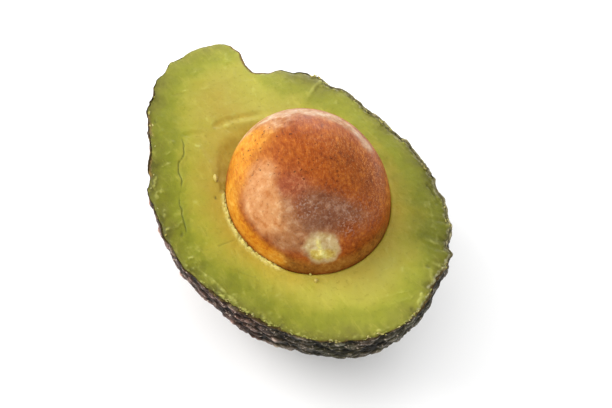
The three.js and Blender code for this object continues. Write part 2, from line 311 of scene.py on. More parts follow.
def mesh_object(name, co_mm, faces, attributes, material, vectors=None):
    """One object from millimetre points in the fruit's frame; each face array has 3 or 4 columns."""
    co = np.array(co_mm, float)
    co[:, :2] += SHIFT
    co[:, 2] += FACE
    co *= 0.001
    me = bpy.data.meshes.new(name)
    me.vertices.add(len(co))
    me.vertices.foreach_set("co", co.astype(np.float32).ravel())
    loops = np.concatenate([f.ravel() for f in faces])
    sizes = np.concatenate([np.full(len(f), f.shape[1]) for f in faces])
    starts = np.concatenate([[0], np.cumsum(sizes)[:-1]])
    me.loops.add(len(loops))
    me.loops.foreach_set("vertex_index", loops.astype(np.int32))
    me.polygons.add(len(sizes))
    me.polygons.foreach_set("loop_start", starts.astype(np.int32))
    me.polygons.foreach_set("use_smooth", np.ones(len(sizes), bool))
    me.update(calc_edges=True)
    me.validate()
    for key, values in attributes.items():
        a = me.attributes.new(key, "FLOAT", "POINT")
        a.data.foreach_set("value", np.asarray(values, np.float32))
    for key, values in (vectors or {}).items():
        a = me.attributes.new(key, "FLOAT_VECTOR", "POINT")
        a.data.foreach_set("vector", np.asarray(values, np.float32).ravel())
    ob = bpy.data.objects.new(name, me)
    bpy.context.scene.collection.objects.link(ob)
    me.materials.append(material)
    return ob


# ---------------------------------------------------------------- node helpers
def srgb(r, g, b):
    def lin(c):
        return c / 12.92 if c <= 0.04045 else ((c + 0.055) / 1.055) ** 2.4
    return (lin(r), lin(g), lin(b), 1.0)


class Nodes:
    def __init__(self, name):
        self.mat = bpy.data.materials.new(name)
        self.mat.use_nodes = True
        self.tree = self.mat.node_tree
        self.tree.nodes.clear()
        self.out = self.tree.nodes.new("ShaderNodeOutputMaterial")
        self.bsdf = self.tree.nodes.new("ShaderNodeBsdfPrincipled")
        self.tree.links.new(self.bsdf.outputs[0], self.out.inputs["Surface"])

    def put(self, value, socket):
        if hasattr(value, "is_linked") or isinstance(value, bpy.types.NodeSocket):
            self.tree.links.new(value, socket)
        else:
            socket.default_value = value

    def attr(self, name, vector=False):
        n = self.tree.nodes.new("ShaderNodeAttribute")
        n.attribute_type = "GEOMETRY"
        n.attribute_name = name
        return n.outputs["Vector" if vector else "Fac"]

    def coords(self):
        n = self.tree.nodes.new("ShaderNodeTexCoord")
        return n.outputs["Object"]

    def scale(self, vec, factor):
        n = self.tree.nodes.new("ShaderNodeVectorMath")
        n.operation = "MULTIPLY"
        self.put(vec, n.inputs[0])
        n.inputs[1].default_value = factor if hasattr(factor, "__len__") else (factor,) * 3
        return n.outputs[0]

    def noise(self, vec, scale, detail=3.0, rough=0.5, distort=0.0, lac=2.0):
        n = self.tree.nodes.new("ShaderNodeTexNoise")
        self.put(vec, n.inputs["Vector"])
        n.inputs["Scale"].default_value = scale
        n.inputs["Detail"].default_value = detail
        n.inputs["Roughness"].default_value = rough
        n.inputs["Lacunarity"].default_value = lac
        n.inputs["Distortion"].default_value = distort
        return n.outputs["Fac"]

    def voronoi(self, vec, scale, feature="F1", out="Distance", rand=1.0):
        n = self.tree.nodes.new("ShaderNodeTexVoronoi")
        n.feature = feature
        self.put(vec, n.inputs["Vector"])
        n.inputs["Scale"].default_value = scale
        n.inputs["Randomness"].default_value = rand
        return n.outputs[out]

    def math(self, op, a, b=None, c=None, clamp=False):
        n = self.tree.nodes.new("ShaderNodeMath")
        n.operation = op
        n.use_clamp = clamp
        self.put(a, n.inputs[0])
        if b is not None:
            self.put(b, n.inputs[1])
        if c is not None:
            self.put(c, n.inputs[2])
        return n.outputs[0]

    def range(self, value, a, b, c=0.0, d=1.0, kind="SMOOTHSTEP"):
        n = self.tree.nodes.new("ShaderNodeMapRange")
        n.interpolation_type = kind
        n.clamp = True
        self.put(value, n.inputs["Value"])
        n.inputs["From Min"].default_value = a
        n.inputs["From Max"].default_value = b
        n.inputs["To Min"].default_value = c
        n.inputs["To Max"].default_value = d
        return n.outputs["Result"]

    def ramp(self, value, stops, mode="EASE"):
        n = self.tree.nodes.new("ShaderNodeValToRGB")
        n.color_ramp.interpolation = mode
        el = n.color_ramp.elements
        while len(el) > len(stops):
            el.remove(el[-1])
        while len(el) < len(stops):
            el.new(0.5)
        for e, (pos, col) in zip(el, stops):
            e.position = pos
            e.color = col
        self.put(value, n.inputs["Fac"])
        return n.outputs["Color"]

    def mix(self, fac, a, b, mode="MIX"):
        n = self.tree.nodes.new("ShaderNodeMix")
        n.data_type = "RGBA"
        n.blend_type = mode
        n.clamp_factor = True
        self.put(fac, n.inputs["Factor"])
        self.put(a, [s for s in n.inputs if s.name == "A" and s.type == "RGBA"][0])
        self.put(b, [s for s in n.inputs if s.name == "B" and s.type == "RGBA"][0])
        return [s for s in n.outputs if s.type == "RGBA"][0]

    def bump(self, height, strength, distance, normal=None):
        n = self.tree.nodes.new("ShaderNodeBump")
        n.inputs["Strength"].default_value = strength
        n.inputs["Distance"].default_value = distance
        self.put(height, n.inputs["Height"])
        if normal is not None:
            self.tree.links.new(normal, n.inputs["Normal"])
        return n.outputs["Normal"]

    def gain(self, col, factor):
        n = self.tree.nodes.new("ShaderNodeVectorMath")
        n.operation = "SCALE"
        self.put(col, n.inputs[0])
        self.put(factor, n.inputs["Scale"])
        return n.outputs[0]

    def blend(self, mask, noise, spread, a, b):
        """A mask from an attribute with its edge broken up by noise."""
        return self.range(self.math("ADD", mask, self.math("MULTIPLY", self.math("SUBTRACT", noise, 0.5), spread)), a, b)

    def set(self, **values):
        for key, value in values.items():
            self.put(value, self.bsdf.inputs[key.replace("_", " ")])


# ---------------------------------------------------------------- materials
def skin_material():
    m = Nodes("avocado_skin")
    p = m.coords()
    high = m.attr("high")            # 0 in the creases, 1 on the bumps
    tint = m.attr("tint")            # slow change of colour
    lip = m.attr("lip")              # the cut edge
    cork = m.attr("cork")            # brown, corky places
    dry = m.attr("dry")              # a drier, lighter cut edge
    fine = m.noise(p, 1500, 4, 0.6)
    mid = m.noise(p, 430, 4, 0.6)
    blot = m.noise(p, 95, 4, 0.6)
    # the colour key follows the bump height: the peel's own dark colour, with painted shade in the creases and painted
    # highlight on the bump tops
    key = m.math("ADD", m.math("MULTIPLY", high, 0.75), m.math("MULTIPLY", m.math("SUBTRACT", mid, 0.5), 0.75))
    key = m.math("ADD", key, m.math("MULTIPLY", m.math("SUBTRACT", blot, 0.5), 0.25))
    key = m.math("ADD", key, m.math("MULTIPLY", m.math("SUBTRACT", fine, 0.5), 0.45))
    body = m.ramp(key, [
        (0.10, srgb(0.034, 0.020, 0.014)), (0.33, srgb(0.130, 0.088, 0.070)),
        (0.57, srgb(0.285, 0.208, 0.180)), (0.80, srgb(0.570, 0.465, 0.425))])
    green = m.ramp(key, [
        (0.06, srgb(0.030, 0.029, 0.014)), (0.30, srgb(0.118, 0.112, 0.062)),
        (0.55, srgb(0.205, 0.198, 0.125)), (0.82, srgb(0.360, 0.345, 0.245))])
    col = m.mix(m.range(m.math("ADD", tint, m.math("MULTIPLY", m.math("SUBTRACT", blot, 0.5), 0.8)), 0.25, 0.85), body, green)
    # painted glints: small light specks on the bump tops
    specks = m.range(m.noise(p, 1150, 3, 0.6), 0.60, 0.70)
    col = m.mix(m.math("MULTIPLY", m.math("MULTIPLY", specks, m.range(high, 0.10, 0.50)), 0.75), col, srgb(0.640, 0.580, 0.520))
    col = m.mix(m.math("MULTIPLY", cork, 0.85), col, m.ramp(mid, [
        (0.30, srgb(0.230, 0.150, 0.070)), (0.55, srgb(0.400, 0.290, 0.160)), (0.80, srgb(0.560, 0.450, 0.300))]))
    edge = m.ramp(m.noise(p, 520, 4, 0.6), [
        (0.32, srgb(0.110, 0.080, 0.040)), (0.50, srgb(0.240, 0.190, 0.090)), (0.70, srgb(0.420, 0.360, 0.200))])
    light = m.ramp(m.noise(p, 640, 4, 0.6), [
        (0.32, srgb(0.220, 0.205, 0.120)), (0.48, srgb(0.430, 0.410, 0.290)), (0.70, srgb(0.640, 0.610, 0.480))])
    # the colour is scaled by the peel's left-to-right gain, which paints light on the left side
    col = m.gain(m.mix(lip, col, m.mix(dry, edge, light)), m.attr("painted_side_light"))
    rough = m.range(m.math("ADD", fine, m.math("MULTIPLY", high, -0.30)), 0.10, 0.60, 0.24, 0.60)
    nor = m.bump(m.noise(p, 950, 5, 0.65), 0.60, 0.00035)
    nor = m.bump(m.voronoi(p, 1500, "F1"), 0.30, 0.0002, nor)
    m.set(Base_Color=col, Roughness=rough, Normal=nor)
    m.set(Specular_IOR_Level=m.range(key, 0.35, 0.75, 0.05, 0.50), IOR=1.45)
    return m.mat


def flesh_material(name="avocado_flesh"):
    m = Nodes(name)
    p = m.coords()
    rimd = m.attr("rimd")            # mm from the peel
    ochre = m.attr("ochre")          # 1 next to the seed; also painted shade in the crease over the hollow
    cut = m.attr("cut")              # 1 in cracks
    brown = m.attr("brown")          # browned rim
    pale = m.attr("pale")            # raised, crumbled or scraped places; on the crease's lips and the shoulder ridge it is painted highlight
    dark = m.attr("dark")            # small pits
    neck = m.attr("neck")            # paler pulp towards the stem
    tone = m.attr("tone")            # brightness: the pulp's own tone, with painted shade darkest on the lower right
    big = m.noise(p, 60, 4, 0.55)
    mid = m.noise(p, 230, 4, 0.6)
    fine = m.noise(p, 950, 4, 0.6)
    thread = m.noise(m.scale(p, (1.0, 0.30, 1.0)), 700, 4, 0.6, 0.4)
    wob = m.math("ADD", rimd, m.math("MULTIPLY", m.math("SUBTRACT", big, 0.5), 9.5))
    wob = m.math("ADD", wob, m.math("MULTIPLY", m.math("SUBTRACT", mid, 0.5), 6.0))
    wob = m.range(wob, 0.0, 20.0, 0, 1, "LINEAR")
    col = m.ramp(wob, [
        (0.00, srgb(0.330, 0.325, 0.020)), (0.10, srgb(0.420, 0.425, 0.045)), (0.20, srgb(0.455, 0.470, 0.055)),
        (0.30, srgb(0.485, 0.498, 0.068)), (0.40, srgb(0.545, 0.540, 0.110)), (0.55, srgb(0.590, 0.556, 0.145)),
        (0.75, srgb(0.603, 0.540, 0.155)), (1.00, srgb(0.620, 0.522, 0.150))], "LINEAR")
    soft = m.ramp(wob, [
        (0.00, srgb(0.479, 0.462, 0.190)), (0.10, srgb(0.550, 0.543, 0.220)), (0.20, srgb(0.571, 0.571, 0.208)),
        (0.30, srgb(0.584, 0.584, 0.208)), (0.45, srgb(0.622, 0.600, 0.240)), (0.70, srgb(0.628, 0.598, 0.255)),
        (1.00, srgb(0.645, 0.592, 0.250))], "LINEAR")
    col = m.mix(neck, col, soft)
    col = m.mix(m.math("MULTIPLY", m.blend(ochre, mid, 0.5, 0.05, 0.95), 0.80),
                col, m.ramp(mid, [(0.3, srgb(0.630, 0.508, 0.125)), (0.7, srgb(0.695, 0.585, 0.190))]))
    col = m.mix(m.math("MULTIPLY", m.range(thread, 0.52, 0.74), 0.22), col, srgb(0.730, 0.690, 0.310))
    col = m.mix(m.math("MULTIPLY", m.range(fine, 0.45, 0.26), 0.34), col, srgb(0.400, 0.390, 0.080))
    col = m.mix(m.math("MULTIPLY", m.blend(pale, fine, 0.5, 0.10, 0.95), 0.75), col, srgb(0.710, 0.710, 0.370))
    col = m.mix(m.math("MULTIPLY", cut, 0.60), col, srgb(0.270, 0.300, 0.050))
    col = m.mix(m.math("MULTIPLY", dark, 0.75), col, srgb(0.260, 0.250, 0.060))
    col = m.mix(m.blend(brown, mid, 0.6, 0.15, 0.85), col, m.ramp(fine, [
        (0.35, srgb(0.270, 0.165, 0.060)), (0.65, srgb(0.500, 0.390, 0.150))]))
    col = m.mix(m.math("MULTIPLY", m.blend(m.attr("dry"), fine, 0.8, 0.15, 0.85), 0.85), col, m.ramp(fine, [
        (0.35, srgb(0.420, 0.400, 0.240)), (0.65, srgb(0.650, 0.630, 0.470))]))
    col = m.mix(m.math("MULTIPLY", m.blend(m.attr("cream"), fine, 0.5, 0.10, 0.90), 0.80), col, m.ramp(fine, [
        (0.35, srgb(0.660, 0.570, 0.250)), (0.65, srgb(0.800, 0.740, 0.440))]))
    col = m.gain(col, tone)
    rough = m.range(m.math("ADD", mid, m.math("MULTIPLY", fine, 0.4)), 0.4, 1.0, 0.38, 0.56)
    nor = m.bump(m.noise(p, 300, 5, 0.6), 0.40, 0.0005)
    nor = m.bump(m.noise(p, 1300, 3, 0.6), 0.30, 0.00014, nor)
    m.set(Base_Color=col, Roughness=rough, Normal=nor)
    m.set(Subsurface_Weight=0.30, Subsurface_Radius=(1.0, 0.80, 0.25), Subsurface_Scale=0.0018)
    m.set(Specular_IOR_Level=0.26, IOR=1.40)
    return m.mat


def seed_material():
    m = Nodes("avocado_seed")
    p = m.coords()
    v = m.attr("vein", True)
    veins = m.noise(m.scale(v, (8.5, 8.5, 2.4)), 3.0, 5, 0.62, 0.35)
    thin = m.noise(m.scale(v, (21.0, 21.0, 8.0)), 3.0, 4, 0.65, 0.3)
    blot = m.noise(p, 110, 5, 0.62)
    grain = m.noise(p, 420, 4, 0.62)
    spots = m.noise(p, 760, 3, 0.6)
    dots = m.noise(m.scale(p, (1.0, 1.0, 0.8)), 1050, 2, 0.5)
    mixv = m.math("ADD", m.math("MULTIPLY", veins, 0.45), m.math("MULTIPLY", blot, 0.38))
    mixv = m.math("ADD", mixv, m.math("MULTIPLY", grain, 0.17))
    col = m.ramp(mixv, [
        (0.38, srgb(0.500, 0.210, 0.045)), (0.47, srgb(0.615, 0.285, 0.062)),
        (0.54, srgb(0.690, 0.350, 0.090)), (0.62, srgb(0.790, 0.460, 0.165))])

    def layer(name, strength, spread, lo, hi, stops, by):
        nonlocal col
        mask = m.math("MULTIPLY", m.blend(m.attr(name), blot, spread, lo, hi), strength)
        col = m.mix(mask, col, m.ramp(by, stops))

    # painted shade: darker red-brown over the right and lower right, partly the coat's own red-brown
    layer("deep", 0.85, 0.6, 0.10, 1.00, [(0.38, srgb(0.415, 0.175, 0.020)), (0.50, srgb(0.570, 0.275, 0.040)), (0.62, srgb(0.730, 0.420, 0.120))], mixv)
    layer("umber", 0.90, 0.6, 0.10, 1.00, [(0.38, srgb(0.470, 0.275, 0.080)), (0.50, srgb(0.620, 0.400, 0.145)), (0.62, srgb(0.750, 0.550, 0.260))], mixv)
    # painted light: bright orange on the left side, for light glowing through the coat
    layer("painted_glow", 0.90, 0.5, 0.10, 0.95, [(0.38, srgb(0.800, 0.440, 0.060)), (0.50, srgb(0.890, 0.590, 0.150)), (0.62, srgb(0.950, 0.720, 0.300))], mixv)
    layer("blush", 0.80, 0.9, 0.20, 0.95, [(0.38, srgb(0.470, 0.200, 0.110)), (0.50, srgb(0.610, 0.310, 0.190)), (0.62, srgb(0.770, 0.490, 0.340))], mixv)
    # a pale band along the top edge and onto the back: partly a dry film on the coat, partly painted sheen
    layer("film_and_painted_sheen", 0.75, 1.1, 0.20, 1.00, [(0.36, srgb(0.690, 0.500, 0.330)), (0.50, srgb(0.800, 0.665, 0.520)), (0.66, srgb(0.890, 0.810, 0.700))], grain)
    layer("tan", 0.85, 0.7, 0.15, 0.95, [(0.32, srgb(0.540, 0.330, 0.190)), (0.50, srgb(0.660, 0.455, 0.290)), (0.68, srgb(0.770, 0.600, 0.440))], grain)
    layer("film", 0.92, 0.6, 0.15, 0.95, [(0.32, srgb(0.760, 0.480, 0.250)), (0.50, srgb(0.840, 0.595, 0.375)), (0.68, srgb(0.900, 0.700, 0.490))], grain)
    layer("plum", 0.88, 0.8, 0.10, 1.00, [(0.32, srgb(0.420, 0.245, 0.165)), (0.50, srgb(0.505, 0.325, 0.230)), (0.68, srgb(0.630, 0.475, 0.380))], grain)
    # fine light threads and dark specks of the coat
    col = m.mix(m.math("MULTIPLY", m.range(thin, 0.45, 0.30), 0.26), col, srgb(0.430, 0.160, 0.040))
    col = m.mix(m.math("MULTIPLY", m.range(thin, 0.56, 0.72), 0.22), col, srgb(0.920, 0.660, 0.400))
    flare = m.noise(m.scale(v, (30.0, 30.0, 4.5)), 3.0, 3, 0.6, 0.4)
    col = m.mix(m.math("MULTIPLY", m.math("MULTIPLY", m.range(flare, 0.54, 0.66), m.attr("streak")), 0.55), col, srgb(0.930, 0.680, 0.430))
    glint = m.noise(p, 1700, 2, 0.5)
    # painted glints: tiny pale dots over the plum patch
    col = m.mix(m.math("MULTIPLY", m.math("MULTIPLY", m.range(glint, 0.50, 0.66), m.attr("painted_glints")), 0.32), col, srgb(0.850, 0.740, 0.660))
    specks = m.math("MULTIPLY", m.range(dots, 0.645, 0.70), m.range(m.attr("speck"), 0.0, 1.0, 0.25, 1.0))
    col = m.mix(m.math("MULTIPLY", specks, 0.80), col, srgb(0.260, 0.100, 0.035))
    # painted shade: darker brown low on the seed where it meets the flesh, and in the groove at its lower left
    col = m.mix(m.math("MULTIPLY", m.attr("foot"), 0.70), col, srgb(0.380, 0.215, 0.060))
    # the pale scar with its yellow fibres
    scar = m.blend(m.attr("scar"), grain, 0.70, 0.08, 0.95)
    disc = m.ramp(spots, [(0.32, srgb(0.740, 0.620, 0.400)), (0.50, srgb(0.820, 0.720, 0.510)), (0.70, srgb(0.900, 0.830, 0.660))])
    yolk = m.ramp(spots, [(0.32, srgb(0.720, 0.580, 0.220)), (0.50, srgb(0.820, 0.710, 0.330)), (0.70, srgb(0.920, 0.850, 0.480))])
    col = m.mix(m.math("MULTIPLY", scar, 0.95), col, m.mix(m.blend(m.attr("yolk"), grain, 0.6, 0.2, 0.8), disc, yolk))
    col = m.mix(m.attr("nub"), col, m.ramp(spots, [(0.3, srgb(0.930, 0.850, 0.400)), (0.7, srgb(1.000, 0.970, 0.680))]))
    col = m.gain(col, m.attr("tone"))
    rough = m.range(m.math("ADD", blot, m.math("MULTIPLY", thin, 0.5)), 0.5, 1.0, 0.34, 0.54)
    nor = m.bump(grain, 0.34, 0.0004)
    nor = m.bump(thin, 0.22, 0.00022, nor)
    nor = m.bump(spots, 0.22, 0.00014, nor)
    m.set(Base_Color=col, Roughness=rough, Normal=nor)
    m.set(Subsurface_Weight=0.15, Subsurface_Radius=(1.0, 0.45, 0.15), Subsurface_Scale=0.0014)
    m.set(Specular_IOR_Level=0.11, IOR=1.40, Coat_Weight=0.02, Coat_Roughness=0.35)
    return m.mat


def floor_material():
    m = Nodes("pale_floor")
    p = m.coords()
    col = m.mix(m.noise(p, 30, 3, 0.5), srgb(0.965, 0.965, 0.965), srgb(0.975, 0.975, 0.975))
    m.set(Base_Color=col, Roughness=0.8)
    return m.mat


# ---------------------------------------------------------------- outline
COLS = 704
ACROSS = np.array([0.8480, -0.5299, 0.0])                  # left to right and near to far, as the fruit is looked at
UPWARD = np.array([0.4341, 0.6947, 0.5736])


def blur(values, sigma):
    """Smooth a closed row of values along its columns."""
    n = len(values)
    k = np.minimum(np.arange(n), n - np.arange(n))
    w = np.exp(-0.5 * (k / sigma) ** 2)
    w /= w.sum()
    return np.real(np.fft.ifft(np.fft.fft(values, axis=0) * np.fft.fft(w)[:, None], axis=0))


def angle_of(xy):
    return np.degrees(np.arctan2(xy[:, 1] - CENTRE[1], xy[:, 0] - CENTRE[0]))


rim_fine = spline([CENTRE + r * np.array([math.cos(math.radians(a)), math.sin(math.radians(a))]) for a, r in RIM], True)
P = resample(rim_fine, COLS, True)


def outward(points):
    tan = norm_rows(np.roll(points, -1, 0) - np.roll(points, 1, 0))
    return tan, np.stack([tan[:, 1], -tan[:, 0]], 1)


TAN, OUT = outward(blur(P, 1.6))
rim3 = np.column_stack([P, np.zeros(COLS)])
torn_low = smooth(-172, -150, angle_of(P)) * smooth(-40, -60, angle_of(P))
P = P + OUT * ((0.11 + 0.13 * torn_low) * perlin(rim3 / 1.25, 31) + (0.11 + 0.10 * torn_low) * perlin(rim3 / 2.9, 32))[:, None]
rim3 = np.column_stack([P, np.zeros(COLS)])
PS = blur(P, 4.5)                                          # without the bites and tears of the very edge
angle = np.arctan2(PS[:, 1] - CENTRE[1], PS[:, 0] - CENTRE[0])
RIM_DEG = np.degrees(np.arctan2(P[:, 1] - CENTRE[1], P[:, 0] - CENTRE[0]))
Q = CENTRE + smooth_radius(angle)[:, None] * np.stack([np.cos(angle), np.sin(angle)], 1)


def near_deg(centre, half, soft=2.0):
    """1 for the rim's columns within half degrees of a bearing, fading out."""
    d = np.abs((RIM_DEG - centre + 180) % 360 - 180)
    return smooth(half + soft, half, d)


def by_bearing(rows, deg, column=1):
    """Values of a table of (bearing, value, ...) rows, which runs all the way round."""
    return np.interp(deg, [r[0] for r in rows], [r[column] for r in rows], period=360)


# The peel's cut edge by bearing: how thick it is and how high it stands against the flesh, in mm.
LIP = [(-180, 0.42, -0.26), (-158, 0.40, -0.20), (-142, 0.85, -0.15), (-128, 0.48, -0.12), (-115, 0.32, -0.10), (-90, 0.32, -0.06),
       (-76, 0.38, -0.05), (-64, 0.36, 0.02), (-50, 0.34, 0.08), (-10, 0.44, 0.06), (30, 0.40, 0.00), (45, 0.26, -0.25), (60, 0.14, -0.55), (66, 0.16, -0.45),
       (73, 0.18, -0.38), (79, 0.12, -0.62), (98, 0.10, -0.70), (104, 0.30, -0.25), (110, 0.48, -0.08), (116, 0.20, -0.45),
       (123, 0.44, -0.12), (131, 0.46, -0.10), (140, 0.22, -0.42), (165, 0.34, -0.32)]
THICK = by_bearing(LIP, RIM_DEG) * (1 + 0.28 * perlin(rim3 / 2.2, 43))
THICK += torn_low * 0.55 * smooth(0.05, 0.55, perlin(rim3 / 1.7, 46) + 0.45 * perlin(rim3 / 0.7, 47))
STAND = by_bearing(LIP, RIM_DEG, 2) + 0.14 * perlin(rim3 / 2.6, 44) + 0.10 * perlin(rim3 / 1.0, 45)


def plain_dome(t, step=1):
    p, s, q = P[::step], PS[::step], Q[::step]
    c = math.cos(t * math.pi / 2)
    base = CENTRE + c * (q - CENTRE)
    g = girth(base[:, 1])
    depth = np.sqrt(np.maximum(0, g * g - base[:, 0] ** 2))
    fade = np.cos(np.minimum(1, depth / RIM_FADE) * math.pi / 2) ** 2
    xy = base + (c * fade)[:, None] * (s - q) + np.exp(-(depth / 1.7) ** 2)[:, None] * (p - s)
    return np.column_stack([xy, -depth])


def plain_normal(t, step=1):
    h = 0.01
    a, b = plain_dome(max(0.0, t - h), step), plain_dome(min(1.0, t + h), step)
    here = plain_dome(t, step)
    n = np.cross(np.roll(here, -1, 0) - np.roll(here, 1, 0), a - b)
    if t <= 0:
        n[:, 2] = 0
    return norm_rows(n)


def dome(t, step=1):
    """Points of the peel's outer surface at latitude t, for every step-th column."""
    out = plain_dome(t, step)
    bearing = np.degrees(angle[::step])
    puff = np.interp(bearing, [a for a, _ in BULGE], [v for _, v in BULGE])
    puff = puff * float(smooth(0.0, 0.22, t) * (1 - smooth(0.55, 0.95, t)))
    return out + plain_normal(t, step) * puff[:, None]


def dome_normal(t, step=1):
    h = 0.008
    a, b = dome(max(0.0, t - h), step), dome(min(1.0, t + h), step)
    here = dome(t, step)
    n = np.cross(np.roll(here, -1, 0) - np.roll(here, 1, 0), a - b)
    if t <= 0:
        n[:, 2] = 0
    return norm_rows(n)


def col_step(t):
    """Columns are halved towards the back, where they crowd together."""
    c = math.cos(t * math.pi / 2)
    step = 1
    while c * 2 * step < 1.02 and step < 32:
        step *= 2
    return step


# ---------------------------------------------------------------- skin
def skin_relief(p):
    """Height of the pebbled surface in mm, and 0..1 for how high a place is."""
    warp = np.stack([perlin(p / 3.1, 5), perlin(p / 3.1, 6), perlin(p / 3.1, 7)], 1) * 1.2
    q = p + warp
    f1, f2, tag = cells(q / np.array([4.3, 4.3, 2.9]), 11)
    pebble = smooth(0.95, 0.10, f1) * (0.35 + 0.65 * tag)
    crease = smooth(0.16, 0.0, f2 - f1)
    g1, g2, gt = cells(q / np.array([1.9, 1.9, 1.4]), 12)
    grit = smooth(0.90, 0.10, g1) * (0.4 + 0.6 * gt)
    fold = 1 - np.minimum(1, abs(perlin(q * np.array([0.24, 0.24, 0.55]), 21)) * 2.6)     # creases that run round the fruit
    fine = perlin(p / 0.62, 22)
    big = fbm(p / 8.0, 3, 3)
    high = 0.62 * pebble + 0.30 * grit - 0.15 * fold - 0.14 * crease + 0.08 * fine + 0.20
    return 1.45 * (high - 0.42) + 0.60 * big, np.clip((high - 0.08) * 1.25, 0, 1)


def cork_mask(p):
    a = angle_of(p[:, :2])
    near = smooth(5.0, 0.8, -p[:, 2])
    notch = smooth(65.5, 68.0, a) * smooth(78.5, 75.5, a) * smooth(9.0, 2.5, -p[:, 2])
    left = (smooth(104, 105.5, a) * smooth(111, 109.5, a) + smooth(121, 123, a) * smooth(132, 130, a)) * near
    return np.clip(notch + left * 0.9, 0, 1)


def build_skin(material):
    sh = Shell()
    rows = 146
    ts = [k / rows for k in range(rows)]
    tucked = np.maximum(smooth(30, 62, RIM_DEG) * smooth(106, 101, RIM_DEG), 0.6 * smooth(-30, -10, RIM_DEG) * smooth(70, 50, RIM_DEG))
    tucked = np.maximum(tucked, 0.8 * smooth(111, 114, RIM_DEG) * smooth(122, 119, RIM_DEG))
    sh.pole(co=(CENTRE[0], CENTRE[1], -float(girth(np.array([CENTRE[1]]))[0])), nrm=(0, 0, -1), amp=1.0, lip=0.0)
    for k in range(rows - 1, 0, -1):
        t = ts[k]
        step = col_step(t)
        co, n = dome(t, step), dome_normal(t, step)
        # round the stem end and the right the peel draws in smoothly under the rim
        under = (tucked[::step] * smooth(0.12, 0.02, t))
        sh.ring(co=co - n * (0.22 * under)[:, None], nrm=n, amp=min(1.0, 0.55 + t * 9) * (1 - 0.85 * under), lip=np.zeros(len(co)))
    top = np.column_stack([P, np.zeros(COLS)])
    flat = np.column_stack([OUT, np.zeros(COLS)])
    # the cut edge of the peel: outer corner, crown, inner corner
    for inset, low, lip, amp in ((0.00, -0.12, 0.45, 0.55), (0.12, -0.01, 0.9, 0.4), (0.5, 0.03, 1.0, 0.1), (0.95, -0.05, 1.0, 0.0)):
        co = top - flat * (THICK * inset)[:, None]
        co[:, 2] = STAND + low
        sh.ring(co=co, nrm=flat, amp=np.full(COLS, amp), lip=np.full(COLS, lip))
    for k, t in enumerate((0.012, 0.03, 0.08, 0.18, 0.34, 0.52, 0.70, 0.86)):
        step = max(col_step(t), (1, 1, 1, 1, 2, 4, 8, 16)[k])
        n = dome_normal(t, step)
        gap = np.maximum(THICK[::step], 0.35) + 0.05 if k == 0 else np.full(len(n), 1.0)
        co = dome(t, step) - n * gap[:, None]
        if k == 0:
            co[:, 2] = np.minimum(co[:, 2], STAND - 0.5)
        sh.ring(co=co, nrm=n, amp=np.zeros(len(co)), lip=np.full(len(co), 1.0))
    sh.pole(co=(CENTRE[0], CENTRE[1], 0.9 - FACE), nrm=(0, 0, 1), amp=0.0, lip=1.0)
    co, nrm, amp, lip = sh.gather("co"), sh.gather("nrm"), sh.gather("amp"), sh.gather("lip")
    rise, high = skin_relief(co)
    cork = cork_mask(co)
    rise = rise * (1 - 0.55 * cork)
    co = co + nrm * (rise * amp)[:, None]
    out = amp > 0.5
    # it lies on a small flat spot: the bumps there are pressed flat
    co[out, 2] = np.maximum(co[out, 2], -FACE)
    co[~out, 2] = np.maximum(co[~out, 2], 0.7 - FACE)
    tint = smooth(-20, 10, co[:, 0] * 0.85 - co[:, 1] * 0.53) * 0.65 + 0.30 * fbm(co / 19, 77, 3) + 0.05
    a = angle_of(co[:, :2])
    bright = smooth(61, 52, a) * smooth(-66, -50, a)           # a dry, light cut edge
    wall = out & (co[:, 2] > -1.6)
    lip = np.where(wall, np.maximum(lip, bright * smooth(1.5, 0.5, -co[:, 2] + 0.5 * perlin(co / 0.9, 78))), lip)
    # the peel is made lighter by a gain that changes only from left to right: partly its own paler colour, partly
    # painted light, strongest on the left
    side_light_gain = np.interp(co[:, 0] * 0.85 - co[:, 1] * 0.53, (-40, -28, -18, -8, 0, 8, 14, 24, 40), (2.3, 2.4, 3.0, 2.5, 1.35, 1.45, 1.85, 1.45, 1.35))
    painted_side_light = 1.0 + (side_light_gain - 1.0) * (1 - lip)
    return mesh_object("skin_peel", co, sh.faces,
                       {"high": high, "tint": tint, "lip": lip, "cork": cork, "dry": bright, "painted_side_light": painted_side_light}, material)


# ---------------------------------------------------------------- flesh
def seed_reach(a, grow=0.0):
    return 1 / np.hypot(np.cos(a - SEED_TURN) / (SEED_AX[0] + grow), np.sin(a - SEED_TURN) / (SEED_AX[1] + grow))


def table(a_deg, column):
    xs = [row[0] for row in RECESS]
    ys = [row[column] for row in RECESS]
    return np.interp(a_deg, xs, ys, left=0, right=0)


